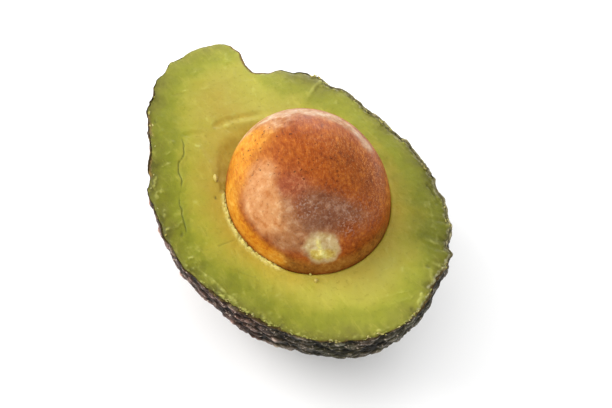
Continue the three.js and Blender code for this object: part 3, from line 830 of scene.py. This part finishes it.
def face_relief(xy, dr, ds, psi):
    """Height of the cut face in mm, with masks for colour. dr: mm from the peel, ds: mm from the seed."""
    p = np.column_stack([xy, np.zeros(len(xy))])
    a = np.degrees(psi)
    ang = angle_of(xy)
    left = smooth(95, 125, ang) + smooth(-95, -125, ang)
    low = smooth(-150, -120, ang) * smooth(-20, -60, ang)
    right = smooth(-60, -35, ang) * smooth(75, 50, ang)
    h = 0.34 * fbm(p / 17, 101, 3) + 0.12 * fbm(p / 5.5, 102, 3) + 0.05 * fbm(p / 1.9, 114, 2)
    # long, faint strokes of the knife
    stroke = perlin(np.column_stack([(xy @ np.array([0.85, -0.53])) / 1.5, (xy @ np.array([0.53, 0.85])) / 14, p[:, 2]]), 103)
    h += 0.050 * stroke
    mottle = fbm(np.column_stack([(xy @ np.array([0.85, -0.53])) / 2.6, (xy @ np.array([0.53, 0.85])) / 4.2, p[:, 2]]), 135, 4)
    pale = 0.10 * smooth(0.1, 0.7, stroke) + 0.42 * smooth(0.10, 0.55, mottle)
    dark = 0.16 * smooth(-0.12, -0.55, mottle) * smooth(11, 5, dr)
    # the rim rounds over; small torn lumps sit on it
    h -= (0.36 + 0.20 * perlin(p / 5, 106)) * np.exp(-dr / 0.75)
    h -= right * 0.30 * np.exp(-dr / 2.6)
    warp = 0.45 * np.stack([perlin(p / 1.2, 8), perlin(p / 1.2, 9), p[:, 2]], 1)
    c1, c2, tag = cells(p / 1.15 + warp, 104)
    lumps = smooth(0.60, 0.15, c1) * smooth(0.55, 0.95, tag)
    band = smooth(3.4, 0.5, dr) * (0.25 + 0.75 * np.clip(left * 0.8 + low, 0, 1)) * smooth(-0.4, 0.4, perlin(p / 4.5, 115))
    h += 0.34 * lumps * band
    pale += 0.50 * lumps * band
    edge = smooth(1.3, 0.1, dr)
    rag = fbm(p / 0.8 + warp, 107, 3)
    h += 0.22 * rag * edge
    pale += 0.45 * edge * smooth(0.05, 0.5, rag)
    # a crumbled strip along the lower left rim
    crumbled = smooth(-174, -162, ang) * smooth(-92, -118, ang) * smooth(2.9, 0.6, dr + 0.8 * perlin(p / 2.6, 136))
    crumbled += 0.75 * smooth(-72, -58, ang) * smooth(50, 30, ang) * smooth(2.4, 0.5, dr + 0.8 * perlin(p / 2.2, 138))
    rough = fbm(p / 1.05 + warp, 137, 3)
    h += 0.30 * crumbled * rough
    pale += 0.75 * crumbled * smooth(-0.05, 0.45, rough)
    dark += 0.40 * crumbled * smooth(-0.08, -0.45, rough)
    dark += 0.35 * edge * smooth(-0.10, -0.5, rag)
    # soft lumps scattered on the left
    l1, l2, ltag = cells(p / 2.6, 108)
    soft = smooth(0.42, 0.08, l1) * smooth(0.66, 0.84, ltag) * smooth(11, 4, dr) * np.clip(left, 0, 1)
    h += 0.24 * soft
    pale += 0.30 * soft
    # long crack inside the left rim
    crack = resample(spline(CRACK, False), 260, False)
    d, s, side = near_curve(xy + 0.35 * np.stack([perlin(p / 2.0, 121), perlin(p / 2.0, 122)], 1), crack)
    sd = d * side                                   # + on the seed's side
    on = smooth(0.0, 0.12, s) * smooth(1.0, 0.95, s) * (0.30 + 0.70 * smooth(0.04, 0.10, abs(s - 0.60)))
    wide = 0.13 + 0.06 * perlin(p / 2.0, 109)
    cut = bell(sd, wide) * on * smooth(0.0, 0.02, s) * smooth(1.0, 0.98, s)
    cut = cut * smooth(-0.75, 0.1, perlin(p / 3.3, 134) + 0.25 + 0.5 * (s > 0.35))
    h -= 0.38 * cut
    h += 0.16 * on * smooth(0.25, -0.25, sd) * np.exp(-np.maximum(-sd, 0) / 2.4) * (d < 9)
    h += 0.08 * on * bell(sd - 0.7, 0.5)
    pale += 0.16 * on * bell(sd - 0.55, 0.35) * smooth(-0.3, 0.3, perlin(p / 1.5, 116))
    # arc over the crack's head
    top = resample(spline(CRACK_TOP, False), 90, False)
    d, s, side = near_curve(xy, top)
    sd = d * side
    on = smooth(0.0, 0.15, s) * smooth(1.0, 0.55, s)
    h += 0.16 * on * bell(sd, 0.9) - 0.14 * on * bell(sd + 1.3, 1.0)
    pale += 0.16 * on * bell(sd, 0.7)
    # crease over the hollow: a wedge that is deepest at its left end
    arc = resample(spline(ARC, False), 140, False)
    d, s, side = near_curve(xy, arc)
    sd = -d * side                                  # + on the seed's side of the crease
    on = smooth(0.0, 0.10, s) * smooth(1.0, 0.55, s)
    h -= 0.50 * on * smooth(-0.8, 1.0, sd) * np.exp(-np.maximum(sd, 0) / 3.2)
    h += 0.26 * on * bell(sd - 2.6, 1.0)
    # painted shade: the crease's mask, which the flesh paints darker ochre
    painted_crease_shade = on * bell(sd - 0.3, 0.9)
    # painted highlight: paler bands on the crease's lips, wide below it and thin above
    pale += 0.26 * on * bell(sd - 2.4, 0.8) + 0.10 * on * bell(sd + 1.0, 0.5)
    # fold at the right shoulder
    rdg = resample(spline(RIDGE, False), 100, False)
    d, s, side = near_curve(xy, rdg)
    sd = d * side                                   # + towards the blossom end
    on = smooth(0.0, 0.10, s) * smooth(1.0, 0.45, s)
    h += on * (0.26 * bell(sd, 0.85) - 0.12 * smooth(0.0, 1.3, sd) * np.exp(-np.maximum(sd, 0) / 6))
    # painted highlight along the ridge's crest
    pale += 0.50 * on * bell(sd, 0.70)
    # light ridge along the hollow's outer edge
    lr = resample(spline(LIGHT_RIDGE, False), 120, False)
    d, s, side = near_curve(xy, lr)
    on = smooth(0.0, 0.15, s) * smooth(1.0, 0.75, s)
    h += 0.16 * on * bell(d, 0.8)
    pale += 0.24 * on * bell(d, 0.6) * smooth(-0.5, 0.5, perlin(p / 2.2, 110))
    # faint line low on the left
    fl = resample(np.array(FAINT), 40, False)
    d, s, side = near_curve(xy, fl)
    thin = bell(d, 0.22) * smooth(0.0, 0.1, s) * smooth(1.0, 0.9, s)
    h -= 0.14 * thin
    # radial scrapes low on the right
    rr = np.hypot(xy[:, 0] - SEED_C[0], xy[:, 1] - SEED_C[1])
    where = smooth(-82, -70, ang) * smooth(-35, -48, ang) * smooth(9.5, 2.5, dr)
    scr = perlin(np.column_stack([a / 2.3, rr / 9, p[:, 2]]), 111)
    h += where * 0.18 * scr
    pale += where * 0.45 * smooth(0.05, 0.6, scr)
    # single marks
    wave = 1 + 0.30 * perlin(p / 1.1, 117)
    bend = 0.55 * np.stack([perlin(p / 1.4, 124), perlin(p / 1.4, 125)], 1)
    for x0, y0, x1, y1, w, lift, light in MARKS:
        near = np.where((abs(xy[:, 0] - (x0 + x1) / 2) < 7) & (abs(xy[:, 1] - (y0 + y1) / 2) < 7))[0]
        o, ab = np.array([x0, y0]), np.array([x1 - x0, y1 - y0])
        at = xy[near] + bend[near]
        t = np.clip((at - o) @ ab / max(ab @ ab, 1e-6), 0, 1)
        k = bell(np.linalg.norm(at - o - t[:, None] * ab, axis=1), max(w, 0.28) * 1.15 * wave[near])
        k = k * smooth(-0.9, 0.25, perlin(p[near] / 0.9, 123) + 0.2)
        h[near] += 0.85 * lift * k
        if light > 0:
            pale[near] += 0.75 * light * k
        else:
            dark[near] -= light * k
    # hollow beside the seed
    width = table(a, 1) + 0.5 * perlin(p / 4, 112) * (table(a, 1) > 0.5)
    depth = table(a, 2) * 0.52
    u = np.clip(ds / np.maximum(width, 0.05), 0, 1)
    h -= depth * (1 - u) ** 1.15 * smooth(1.0, 0.45, u) * (width > 0.4)
    pit = smooth(1.05, 0.40, u) * (width > 0.4)
    # thin collar of flesh that stands up against the seed
    tight = 1 - smooth(0.2, 1.2, depth)
    rim = smooth(138, 152, a % 360) * smooth(226, 214, a % 360)
    torn = smooth(-0.55, 0.35, perlin(p / 1.1, 118) + 0.5 * perlin(p / 0.5, 119))
    h += tight * (0.10 + 0.08 * perlin(p / 2.2, 113)) * bell(ds - 0.5, 0.6)
    h += rim * (0.25 + 0.75 * torn) * 0.95 * bell(ds - 0.30, 0.65)
    pale += rim * (0.35 + 0.65 * torn) * 1.1 * bell(ds - 0.35, 0.70)
    h -= 0.16 * np.exp(-ds / 0.22) * tight * (1 - rim)
    return h, np.clip(pale, 0, 1), np.clip(cut + 0.40 * thin, 0, 1), pit, painted_crease_shade, np.clip(dark, 0, 1)


# The pulp by bearing: brightness near the rim and further in, and how pale it is. The brightness is partly the pulp's
# own tone and partly painted shade, darkest near the rim on the lower right.
PULP = [(-180, 0.93, 1.0, 0.0), (-150, 0.89, 1.07, 0.25), (-126, 0.90, 1.19, 0.60), (-100, 1.04, 1.18, 0.85), (-72, 1.04, 0.98, 0.75),
        (-62, 0.86, 0.92, 0.35), (-54, 0.63, 0.89, 0.10), (-40, 0.72, 1.03, 0.10), (-15, 0.96, 1.11, 0.20), (15, 1.06, 1.16, 0.40),
        (30, 1.06, 1.20, 0.45), (45, 0.93, 1.16, 0.55), (60, 0.94, 1.04, 0.70), (75, 1.08, 1.07, 0.85), (92, 0.96, 0.97, 0.55), (110, 0.87, 0.98, 0.25), (130, 0.88, 0.95, 0.05),
        (150, 0.91, 0.97, 0.0)]


def build_flesh(material):
    sh = Shell()
    zero = np.zeros
    inset = THICK + 0.04
    # hidden back, just inside the peel
    sh.pole(co=(CENTRE[0], CENTRE[1], 1.2 - FACE), rowv=-1.0)
    for t, step in ((0.92, 32), (0.82, 16), (0.70, 8), (0.56, 4), (0.42, 4), (0.28, 2), (0.16, 1), (0.08, 1), (0.035, 1)):
        co = dome(t, step) - dome_normal(t, step) * 0.95
        co[:, 2] = np.maximum(co[:, 2], 1.2 - FACE)
        sh.ring(co=co, rowv=np.full(len(co), -1.0))
    edge = P - OUT * inset[:, None]
    co = np.column_stack([edge - OUT * 0.12, np.full(COLS, -1.1)])
    sh.ring(co=co, rowv=np.full(COLS, -1.0))
    co = np.column_stack([edge, np.full(COLS, -0.6)])
    sh.ring(co=co, rowv=np.full(COLS, -1.0))
    # the cut face
    psi = np.unwrap(np.arctan2(edge[:, 1] - SEED_C[1], edge[:, 0] - SEED_C[0]))
    even = psi[0] + np.sign(psi[-1] - psi[0]) * np.arange(COLS) * 2 * math.pi / COLS
    psi = even + blur((psi - even)[:, None], 16)[:, 0]         # columns spread evenly on the way in
    a_deg = np.degrees(np.arctan2(np.sin(psi), np.cos(psi)))
    drop = table(a_deg, 2) * 0.52
    b0 = np.arcsin(np.clip((drop + 0.1) / (SEED_AX[2] + 0.3), 0, 1))
    reach = seed_reach(psi, 0.04)
    foot = reach * np.cos(b0)
    rows = 114
    v = np.linspace(0, 1, rows)
    v = v - 0.035 * np.sin(2 * np.pi * v)
    inner_edge = np.array(SEED_C)[:2] + foot[:, None] * np.column_stack([np.cos(psi), np.sin(psi)])
    for k in range(rows):
        co = np.column_stack([edge + (inner_edge - edge) * v[k], zero(COLS)])
        sh.ring(co=co, rowv=np.full(COLS, float(v[k])))
    # the cavity under the seed
    for k, b in enumerate((0.03, 0.07, 0.14, 0.26, 0.42, 0.58, 0.74, 0.88)):
        step = (1, 1, 1, 2, 4, 8, 16, 16)[k]
        ang = b0[::step] + (math.pi / 2 - b0[::step]) * b
        r = (reach[::step] + 0.26) * np.cos(ang)
        co = np.column_stack([SEED_C[0] + r * np.cos(psi[::step]), SEED_C[1] + r * np.sin(psi[::step]),
                              -(SEED_AX[2] + 0.3) * np.sin(ang)])
        sh.ring(co=co, rowv=np.full(len(co), 2.0))
    sh.pole(co=(SEED_C[0], SEED_C[1], -(SEED_AX[2] + 0.3)), rowv=2.0)
    co, rowv = sh.gather("co"), sh.gather("rowv")
    face = (rowv >= 0) & (rowv <= 1)
    xy = co[face, :2]
    dr = near_curve(xy, np.vstack([edge, edge[:1]]))[0]
    ps = np.arctan2(xy[:, 1] - SEED_C[1], xy[:, 0] - SEED_C[0])
    ds = np.hypot(xy[:, 0] - SEED_C[0], xy[:, 1] - SEED_C[1]) - seed_reach(ps, 0.0)
    h, pale, cut, pit, painted_crease_shade, dark = face_relief(xy, dr, np.maximum(ds, 0), ps)
    co[face, 2] += h
    # attributes
    n = len(co)
    rimd, ochre, cuts, brown, light, pits, neck, cream, dry = (zero(n) for _ in range(9))
    ps_deg = np.degrees(ps)
    tone = np.ones(n)
    ang = angle_of(xy)
    # the green zone is wider on the right and on the left than at the ends
    pulp = np.array([by_bearing(PULP, ang, k) for k in (1, 2, 3)])
    notch = smooth(63, 67, ang) * smooth(79.5, 77, ang)
    dg = near_curve(xy, edge[(RIM_DEG < 64.5) | (RIM_DEG > 80.0)])[0]
    inner = smooth(6.5, 12.5, dg)
    rimd[face] = dg
    rimd[~face] = 2.0
    rimd[rowv > 1.5] = 20.0
    across, along = xy @ ACROSS[:2], xy @ np.array([0.53, 0.848])
    near = smooth(8.5, 0.0, ds) * (0.42 + 0.25 * smooth(10, -10, across)) * (1 - 0.60 * smooth(14, 24, xy[:, 1]))
    # the ochre also carries painted shade in the crease over the hollow
    ochre[face] = np.clip(np.maximum(near, pit * 0.95) + 0.45 * painted_crease_shade, 0, 1)
    ochre[rowv > 1.5] = 1.0
    cuts[face] = cut
    light[face] = pale
    pits[face] = dark
    below = smooth(-155, -125, ang) * smooth(-40, -60, ang)
    neck[face] = np.clip(pulp[2] * (1 - 0.40 * (1 - inner) * below) + 0.35 * fbm(np.column_stack([xy / 5.0, xy[:, 0] * 0]), 131, 3), 0, 1)
    # brightness by bearing from the table above: partly the pulp's own tone, partly painted shade on the lower right
    tone[face] = (pulp[0] + (pulp[1] - pulp[0]) * inner) * (1 + 0.10 * fbm(np.column_stack([xy / 3.2, xy[:, 0] * 0]), 132, 3) * (1.6 - inner))
    cream[face] = smooth(140, 154, ps_deg % 360) * smooth(228, 216, ps_deg % 360) * smooth(1.5, 0.5, ds + 0.35 * perlin(np.column_stack([xy / 1.2, xy[:, 0] * 0]), 133))
    dry[face] = smooth(62, 52, ang) * smooth(-100, -70, ang) * smooth(1.3, 0.15, dr + 0.5 * perlin(np.column_stack([xy / 1.3, xy[:, 0] * 0]), 139)) * 0.75
    browned = (smooth(112, 115, ang) * smooth(124, 120, ang) + smooth(129, 132, ang) * smooth(143, 139, ang)) * smooth(1.6, 0.2, dr)
    brown[face] = np.clip(notch * smooth(1.3, 0.1, dr) * 0.60 + browned * 0.6 + 0.18 * smooth(0.5, 0.1, dr), 0, 1)
    return mesh_object("flesh_half", co, sh.faces,
                       {"rimd": rimd, "ochre": ochre, "cut": cuts, "brown": brown, "pale": light,
                        "dark": pits, "neck": neck, "tone": tone, "cream": cream, "dry": dry}, material)


# ---------------------------------------------------------------- seed
def seed_basis():
    a = SEED_TURN
    return np.array([[math.cos(a), math.sin(a), 0], [-math.sin(a), math.cos(a), 0], [0, 0, 1.0]])


def on_seed(direction, grow=0.0):
    """Point of the seed's surface in a direction from its middle."""
    b = seed_basis()
    d = np.atleast_2d(direction) @ b.T
    k = 1 / np.sqrt(((d / (np.array(SEED_AX) + grow)) ** 2).sum(1, keepdims=True))
    return (d * k) @ b


def build_seed(material):
    scar = SCAR_DIR / np.linalg.norm(SCAR_DIR)
    e1 = np.cross(scar, [0, 0, 1.0])
    e1 /= np.linalg.norm(e1)
    e2 = np.cross(e1, scar)
    sh = Shell()
    n, rows = 416, 216
    sh.pole(co=-scar, pol=math.pi, azi=0.0)
    for k in range(rows - 1, 0, -1):
        pol = math.pi * k / rows
        step = 1
        while math.sin(pol) * 2 * step < 1.0 and step < 16:
            step *= 2
        az = np.arange(0, n, step) * 2 * math.pi / n
        d = np.outer(np.cos(az), e2) * math.sin(pol) + np.outer(np.sin(az), e1) * math.sin(pol) + scar * math.cos(pol)
        sh.ring(co=d, pol=np.full(len(az), pol), azi=az)
    sh.pole(co=scar, pol=0.0, azi=0.0)
    d = norm_rows(sh.gather("co"))
    pol, azi = sh.gather("pol"), sh.gather("azi")
    co = on_seed(d)
    b = seed_basis()
    nrm = norm_rows(((co @ b.T) / np.array(SEED_AX) ** 2) @ b)
    ring = np.sin(pol)[:, None] * np.column_stack([np.cos(azi), np.sin(azi)])
    vein = np.column_stack([ring, pol])
    toward = np.cross(ACROSS, UPWARD)
    warp = 1.5 * np.stack([fbm(co / 6, 211, 3), fbm(co / 6, 212, 3), fbm(co / 6, 213, 3)], 1)
    q = co + warp

    def zone(centre, r_side, r_up, power=1.0, soft=True):
        g = (q if soft else co) - np.array(centre)
        e = ((g @ ACROSS) / r_side) ** 2 + ((g @ UPWARD) / r_up) ** 2
        return np.exp(-e ** power) * np.exp(-((g @ toward) / 11) ** 2)

    def path(points, width, soft=0.5):
        c = spline(points, False, 16)
        g = co + (q - co) * soft
        dist = np.full(len(co), 99.0)
        for a in c:
            dist = np.minimum(dist, np.linalg.norm(g - a, axis=1))
        return bell(dist, width)

    # pale scar: a soft disc with a low rim and a torn tuft of fibres
    centre = np.array([-8.9, -20.8, 8.9])
    g = co - on_seed(norm_rows(centre[None]))[0]
    r_scar = np.hypot((g @ ACROSS) / 5.0, (g @ UPWARD) / 4.5) * 4.7 + np.maximum(0, -(g @ toward) - 3) * 0.6
    r_scar = r_scar + 0.55 * perlin(co / 2.0, 204) + 0.25 * perlin(co / 0.8, 206)
    disc = smooth(5.7, 2.6, r_scar)
    yolk = smooth(0.8, -1.6, (g @ UPWARD)) * smooth(4.6, 2.0, r_scar)
    tuft = path([(-9.3, -19.6, 10.6), (-9.3, -20.7, 8.6), (-9.2, -21.5, 7.2)], 0.60, 0.1)
    knot = bell(np.linalg.norm(co - on_seed(norm_rows(np.array([[-9.3, -21.1, 7.5]])))[0], axis=1), 1.15)
    fib = perlin(co / 0.5, 205)
    rise = 0.20 * fbm(co / 10, 201, 3) + 0.045 * fbm(co / 1.5, 214, 3) + 0.020 * perlin(np.column_stack([ring * 22, pol * 8]), 203)
    rise += 0.10 * disc + 0.05 * bell(r_scar - 4.2, 0.9)
    rise += tuft * (0.30 + 0.30 * fib) + knot * (0.45 + 0.35 * fib)
    nub = np.clip(tuft * (0.75 + 0.6 * fib) + knot * (0.5 + 0.8 * fib), 0, 1)
    # low swellings of the coat
    rise += 0.16 * zone((-15.9, -2.2, 14.7), 4.9, 7.4, 1.5) - 0.12 * path([(-15.8, -17.9, 3.3), (-11.5, -20.4, 3.2), (-6.5, -22.4, 3.0)], 0.35, 0.1)
    co_out = co + nrm * rise[:, None]
    w = co_out[:, 2]

    film = 1.15 * zone((-15.9, -2.2, 14.7), 5.2, 7.8, 1.4) + 0.55 * zone((-12.4, 2.9, 17.3), 4, 2.6) + 0.65 * zone((-16.8, -9.0, 12.0), 4.5, 5.0)
    tan = 1.0 * zone((-14.0, -9.5, 14.5), 6.0, 5.0) + 1.0 * zone((-14.2, -15.9, 10.1), 6.5, 4.0) + 0.65 * zone((-6.8, -18.5, 13.1), 7, 3)
    plum = 1.0 * zone((-5.0, -14.5, 17.0), 7.0, 5.0, 1.1) + 0.62 * zone((1.6, -19.3, 13.0), 8.0, 3.6, 1.0) + 0.5 * zone((-9.0, -16.8, 13.2), 5, 4)
    blush = 0.9 * zone((-10.9, -7.5, 17.6), 4.5, 5.5) + 0.6 * zone((-8.2, -8.3, 18.7), 4, 3) + 0.7 * zone((5.4, 10.3, 18.9), 3.5, 1.6) + 0.30 * zone((-5.0, -4.0, 20.0), 6, 6)
    # where the painted glints go, over the plum patch
    painted_glints = 0.9 * zone((-8.9, -12.6, 16.6), 2.6, 2.6) + 0.9 * zone((-1.1, -20.4, 12.2), 2.4, 2.2) + 0.55 * zone((-4.3, -15.5, 16.1), 8, 5) + 0.45 * zone((4.5, -19.0, 12.0), 6, 4)
    # painted light: the bright orange band down the left side, for light glowing through the coat
    painted_glow = 1.0 * zone((-11.2, 14.3, 12.9), 5, 8) + 1.1 * path([(-19.2, 9.1, 4.7), (-21.3, 1.2, 4.3), (-21.3, -4.7, 4.2), (-20.4, -10.1, 3.8), (-18.9, -14.0, 3.0)], 3.2) \
        + 0.55 * zone((-17.0, 8.0, 10.0), 5, 8) + 0.35 * zone((-4.0, 12.0, 17.0), 6, 6)
    # a pale band along the top edge and onto the back: partly a dry film on the coat, partly painted sheen
    film_and_painted_sheen = 1.0 * path([(-5.0, 19.8, 10.0), (0.0, 19.4, 13.3), (7.4, 14.7, 16.0), (13.6, 7.7, 15.8), (16.7, -2.2, 13.5)], 3.3) + 0.55 * zone((0.0, 13.5, 18.0), 9, 4) \
        + 0.5 * smooth(6, 12, q @ np.array([0.53, 0.848, 0])) * smooth(15, 5, q[:, 2] + 1.5 * perlin(co / 5, 216))
    streak = zone((15.3, -10.0, 11.0), 5, 12) + 0.6 * zone((8.0, -2.0, 19.0), 9, 9) + 0.15
    umber = 1.0 * path([(-18.3, -15.5, 3.0), (-14.5, -19.6, 2.6), (-9.5, -22.2, 2.6), (-4.1, -24.0, 2.4), (2.8, -24.2, 2.2), (9.0, -22.2, 2.0)], 3.0)
    # painted shade on the right and lower right, with the darker line along the right edge; partly the coat's own
    # red-brown
    deep = 0.85 * zone((8.8, -8.3, 18.0), 8, 11, 1.3) + 1.0 * zone((2.8, -23.9, 4.0), 6, 6) + 0.8 * zone((14.0, -14.0, 9.0), 5, 8) \
        + 0.9 * path([(19.1, -1.0, 10.3), (18.5, -8.2, 7.9), (15.7, -14.9, 5.2), (12.3, -19.4, 2.3), (6.4, -23.2, 0.9)], 0.9)
    speck = np.clip(zone((-8.0, 8.0, 17.0), 9, 9) + 0.7 * zone((-2.0, -4.0, 20.0), 9, 7) + 0.12, 0, 1)
    # painted shade: darker brown low on the seed where it meets the flesh, and in the groove at its lower left
    foot = smooth(2.2, 0.0, w) * smooth(4, -8, co @ np.array([0.30, 0.49, 0.0]) / 0.575) * 0.6
    foot = np.clip(foot + 0.8 * path([(-15.8, -17.9, 3.3), (-11.5, -20.4, 3.2), (-6.5, -22.4, 3.0)], 0.45, 0.1), 0, 1)
    masks = {"film": film, "tan": tan, "plum": plum, "blush": blush, "painted_glints": painted_glints, "painted_glow": painted_glow, "film_and_painted_sheen": film_and_painted_sheen,
             "deep": deep, "umber": umber, "streak": streak, "speck": speck, "foot": foot, "scar": disc, "yolk": yolk, "nub": nub,
             "tone": 0.76 + 0.08 * fbm(co / 4.0, 215, 3)}
    full = co_out.copy()
    full[:, :2] += SEED_C
    return mesh_object("seed_whole", full, sh.faces, {k: np.clip(v, 0, 1) for k, v in masks.items()},
                       material, {"vein": vein})


# ---------------------------------------------------------------- crumbs
def build_crumbs(material):
    """Small torn bits of flesh that cling to the rim and to the edge of the seed."""
    rng = np.random.default_rng(20)
    import bmesh
    bm = bmesh.new()
    bmesh.ops.create_icosphere(bm, subdivisions=3, radius=1.0)
    base = np.array([v.co[:] for v in bm.verts])
    tri = np.array([[v.index for v in f.verts] for f in bm.faces])
    bm.free()
    spots = []

    def along_rim(a0, a1, count, r0, r1, off0, off1):
        keep = np.where((RIM_DEG > a0) & (RIM_DEG < a1))[0]
        for _ in range(count):
            j = int(rng.choice(keep))
            xy = P[j] - OUT[j] * (THICK[j] + rng.uniform(off0, off1))
            spots.append((xy[0], xy[1], rng.uniform(-0.25, 0.02), rng.uniform(r0, r1) * rng.uniform(0.7, 1.0), math.atan2(TAN[j, 1], TAN[j, 0])))

    for a0, a1, count in ((-165, -60, 24), (-60, 30, 15), (30, 52, 4)):     # small heaps of bits, close together
        for _ in range(count):
            a = rng.uniform(a0, a1)
            many = int(rng.integers(2, 8))
            along_rim(a - 1.6, a + 1.6, many, 0.08, 0.21, -0.35, 0.5)
    along_rim(105, 178, 12, 0.12, 0.24, 0.1, 1.2)

    def at_seed(x, y, r):
        a = math.atan2(y - SEED_C[1], x - SEED_C[0])
        rr = float(seed_reach(np.array([a]))[0]) + 0.25
        spots.append((SEED_C[0] + rr * math.cos(a), SEED_C[1] + rr * math.sin(a), rng.uniform(0.25, 0.50), r, a + math.pi / 2))

    for x, y, r in ((-19.6, -6.5, 0.34), (-20.0, -8.0, 0.28), (-19.9, -9.4, 0.34), (-19.3, -11.5, 0.55), (-18.9, -14.5, 0.40),
                    (-18.4, -16.2, 0.38), (-17.6, -18.0, 0.42), (-15.9, -20.6, 0.34)):
        at_seed(x, y, r)
    for _ in range(22):
        a = math.radians(rng.uniform(152, 220))
        at_seed(SEED_C[0] + 20 * math.cos(a), SEED_C[1] + 20 * math.sin(a), rng.uniform(0.13, 0.26))
    co, faces = [], []

    def lump(x, y, w, radii, turn, seed):
        b = base * (1 + 0.42 * fbm(base * 1.5 + seed, 301, 3))[:, None] * np.array(radii)
        c, n = math.cos(turn), math.sin(turn)
        b = np.column_stack([b[:, 0] * c - b[:, 1] * n, b[:, 0] * n + b[:, 1] * c, b[:, 2]])
        faces.append(tri + len(co) * len(base))
        co.append(b + np.array([x, y, w]))

    for x, y, w, r, turn in spots:
        lump(x, y, w, (r * rng.uniform(1.0, 3.2), r * rng.uniform(0.7, 1.3), r * rng.uniform(0.5, 0.9)), turn + rng.normal(0, 0.35), rng.uniform(0, 50))
    # a longer shred left of the seed, a fibre stub below it
    lump(-15.0, 10.8, 0.25, (1.25, 0.50, 0.50), 1.25, 3.0)
    lump(-9.3, -30.9, 0.25, (0.62, 0.45, 0.45), 1.0, 9.0)
    lump(-9.5, -28.5, 0.15, (0.42, 0.28, 0.30), 1.2, 15.0)
    ripe = np.repeat(rng.uniform(0.15, 0.75, len(co)), len(base))
    co = np.vstack(co)
    dr = near_curve(co[:, :2], np.vstack([P, P[:1]]))[0]
    flat = np.zeros(len(co))
    return mesh_object("flesh_crumbs", co, faces,
                       {"rimd": dr * 1.2 + 5, "ochre": smooth(8, 14, dr) * 0.3, "cut": flat, "brown": flat, "dark": flat,
                        "pale": flat + 0.55, "neck": flat + 0.7, "tone": 0.85 + 0.25 * ripe, "cream": np.where(dr > 6, 0.95, ripe),
                        "dry": np.where(dr > 6, 0.0, 0.35 + 0.45 * ripe)}, material)


# ---------------------------------------------------------------- pieces
mat_flesh = flesh_material()
skin = build_skin(skin_material())
flesh = build_flesh(mat_flesh)
seed = build_seed(seed_material())
crumbs = build_crumbs(mat_flesh)

for piece, node, slot in ((skin, "skin", "skin"), (flesh, "flesh", "flesh"), (seed, "seed", "seed")):
    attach(piece, "root")
    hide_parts(node)
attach(crumbs, "root")

# ---------------------------------------------------------------- stage
floor_mesh = bpy.data.meshes.new("floor")
floor_mesh.from_pydata([(-3, -3, 0), (3, -3, 0), (3, 3, 0), (-3, 3, 0)], [], [(0, 1, 2, 3)])
floor = bpy.data.objects.new("floor", floor_mesh)
bpy.context.scene.collection.objects.link(floor)
floor_mesh.materials.append(floor_material())

world = bpy.data.worlds.new("studio")
bpy.context.scene.world = world
world.use_nodes = True
world.node_tree.nodes["Background"].inputs["Color"].default_value = (1.0, 1.0, 1.0, 1.0)
world.node_tree.nodes["Background"].inputs["Strength"].default_value = 1.16

CAM_RIGHT = np.array([0.8480, -0.5299, 0.0])
CAM_UP = np.array([0.4341, 0.6947, 0.5736])
CAM_BACK = np.array([-0.3040, -0.4864, 0.8192])
CAM_RIGHT /= np.linalg.norm(CAM_RIGHT)
CAM_BACK -= CAM_RIGHT * (CAM_BACK @ CAM_RIGHT)
CAM_BACK /= np.linalg.norm(CAM_BACK)
CAM_UP = np.cross(CAM_BACK, CAM_RIGHT)
ANCHOR = np.array([2.0, -8.0, FACE])


def area_light(name, direction, distance, size, power, colour=(1, 1, 1)):
    """A soft light in a direction given as (to the right, away over the table, up)."""
    d = direction[0] * ACROSS + direction[1] * np.array([0.5299, 0.8480, 0.0]) + direction[2] * np.array([0, 0, 1.0])
    d = d / np.linalg.norm(d)
    at = (ANCHOR + d * distance) / 1000
    data = bpy.data.lights.new(name, "AREA")
    data.shape = "DISK"
    data.size = size / 1000
    data.energy = power
    data.color = colour
    ob = bpy.data.objects.new(name, data)
    bpy.context.scene.collection.objects.link(ob)
    ob.location = at
    ob.rotation_euler = Vector(tuple(d)).to_track_quat("Z", "Y").to_euler()
    return ob


area_light("key", (-0.78, 0.22, 0.55), 1600, 1300, 20.0, (1.0, 0.985, 0.96))
area_light("back", (0.15, 0.95, 0.22), 1300, 700, 8.0)

cam_data = bpy.data.cameras.new("camera")
cam_data.sensor_width = 36.0
cam_data.sensor_fit = "HORIZONTAL"
cam_data.lens = 1500.0 / 612.0 * 36.0
cam_data.clip_start = 0.01
cam_data.clip_end = 20.0
cam = bpy.data.objects.new("camera", cam_data)
bpy.context.scene.collection.objects.link(cam)
cam_at = (ANCHOR + 400.0 * CAM_BACK - 4.0 / 1500.0 * 400.0 * CAM_UP) / 1000
rot = Matrix(np.column_stack([CAM_RIGHT, CAM_UP, CAM_BACK]).tolist())
cam.matrix_world = Matrix.Translation(Vector(tuple(cam_at))) @ rot.to_4x4()
bpy.context.scene.camera = cam

bpy.context.scene.view_settings.view_transform = "Standard"
bpy.context.scene.view_settings.look = "None"
bpy.context.scene.view_settings.exposure = 0.0
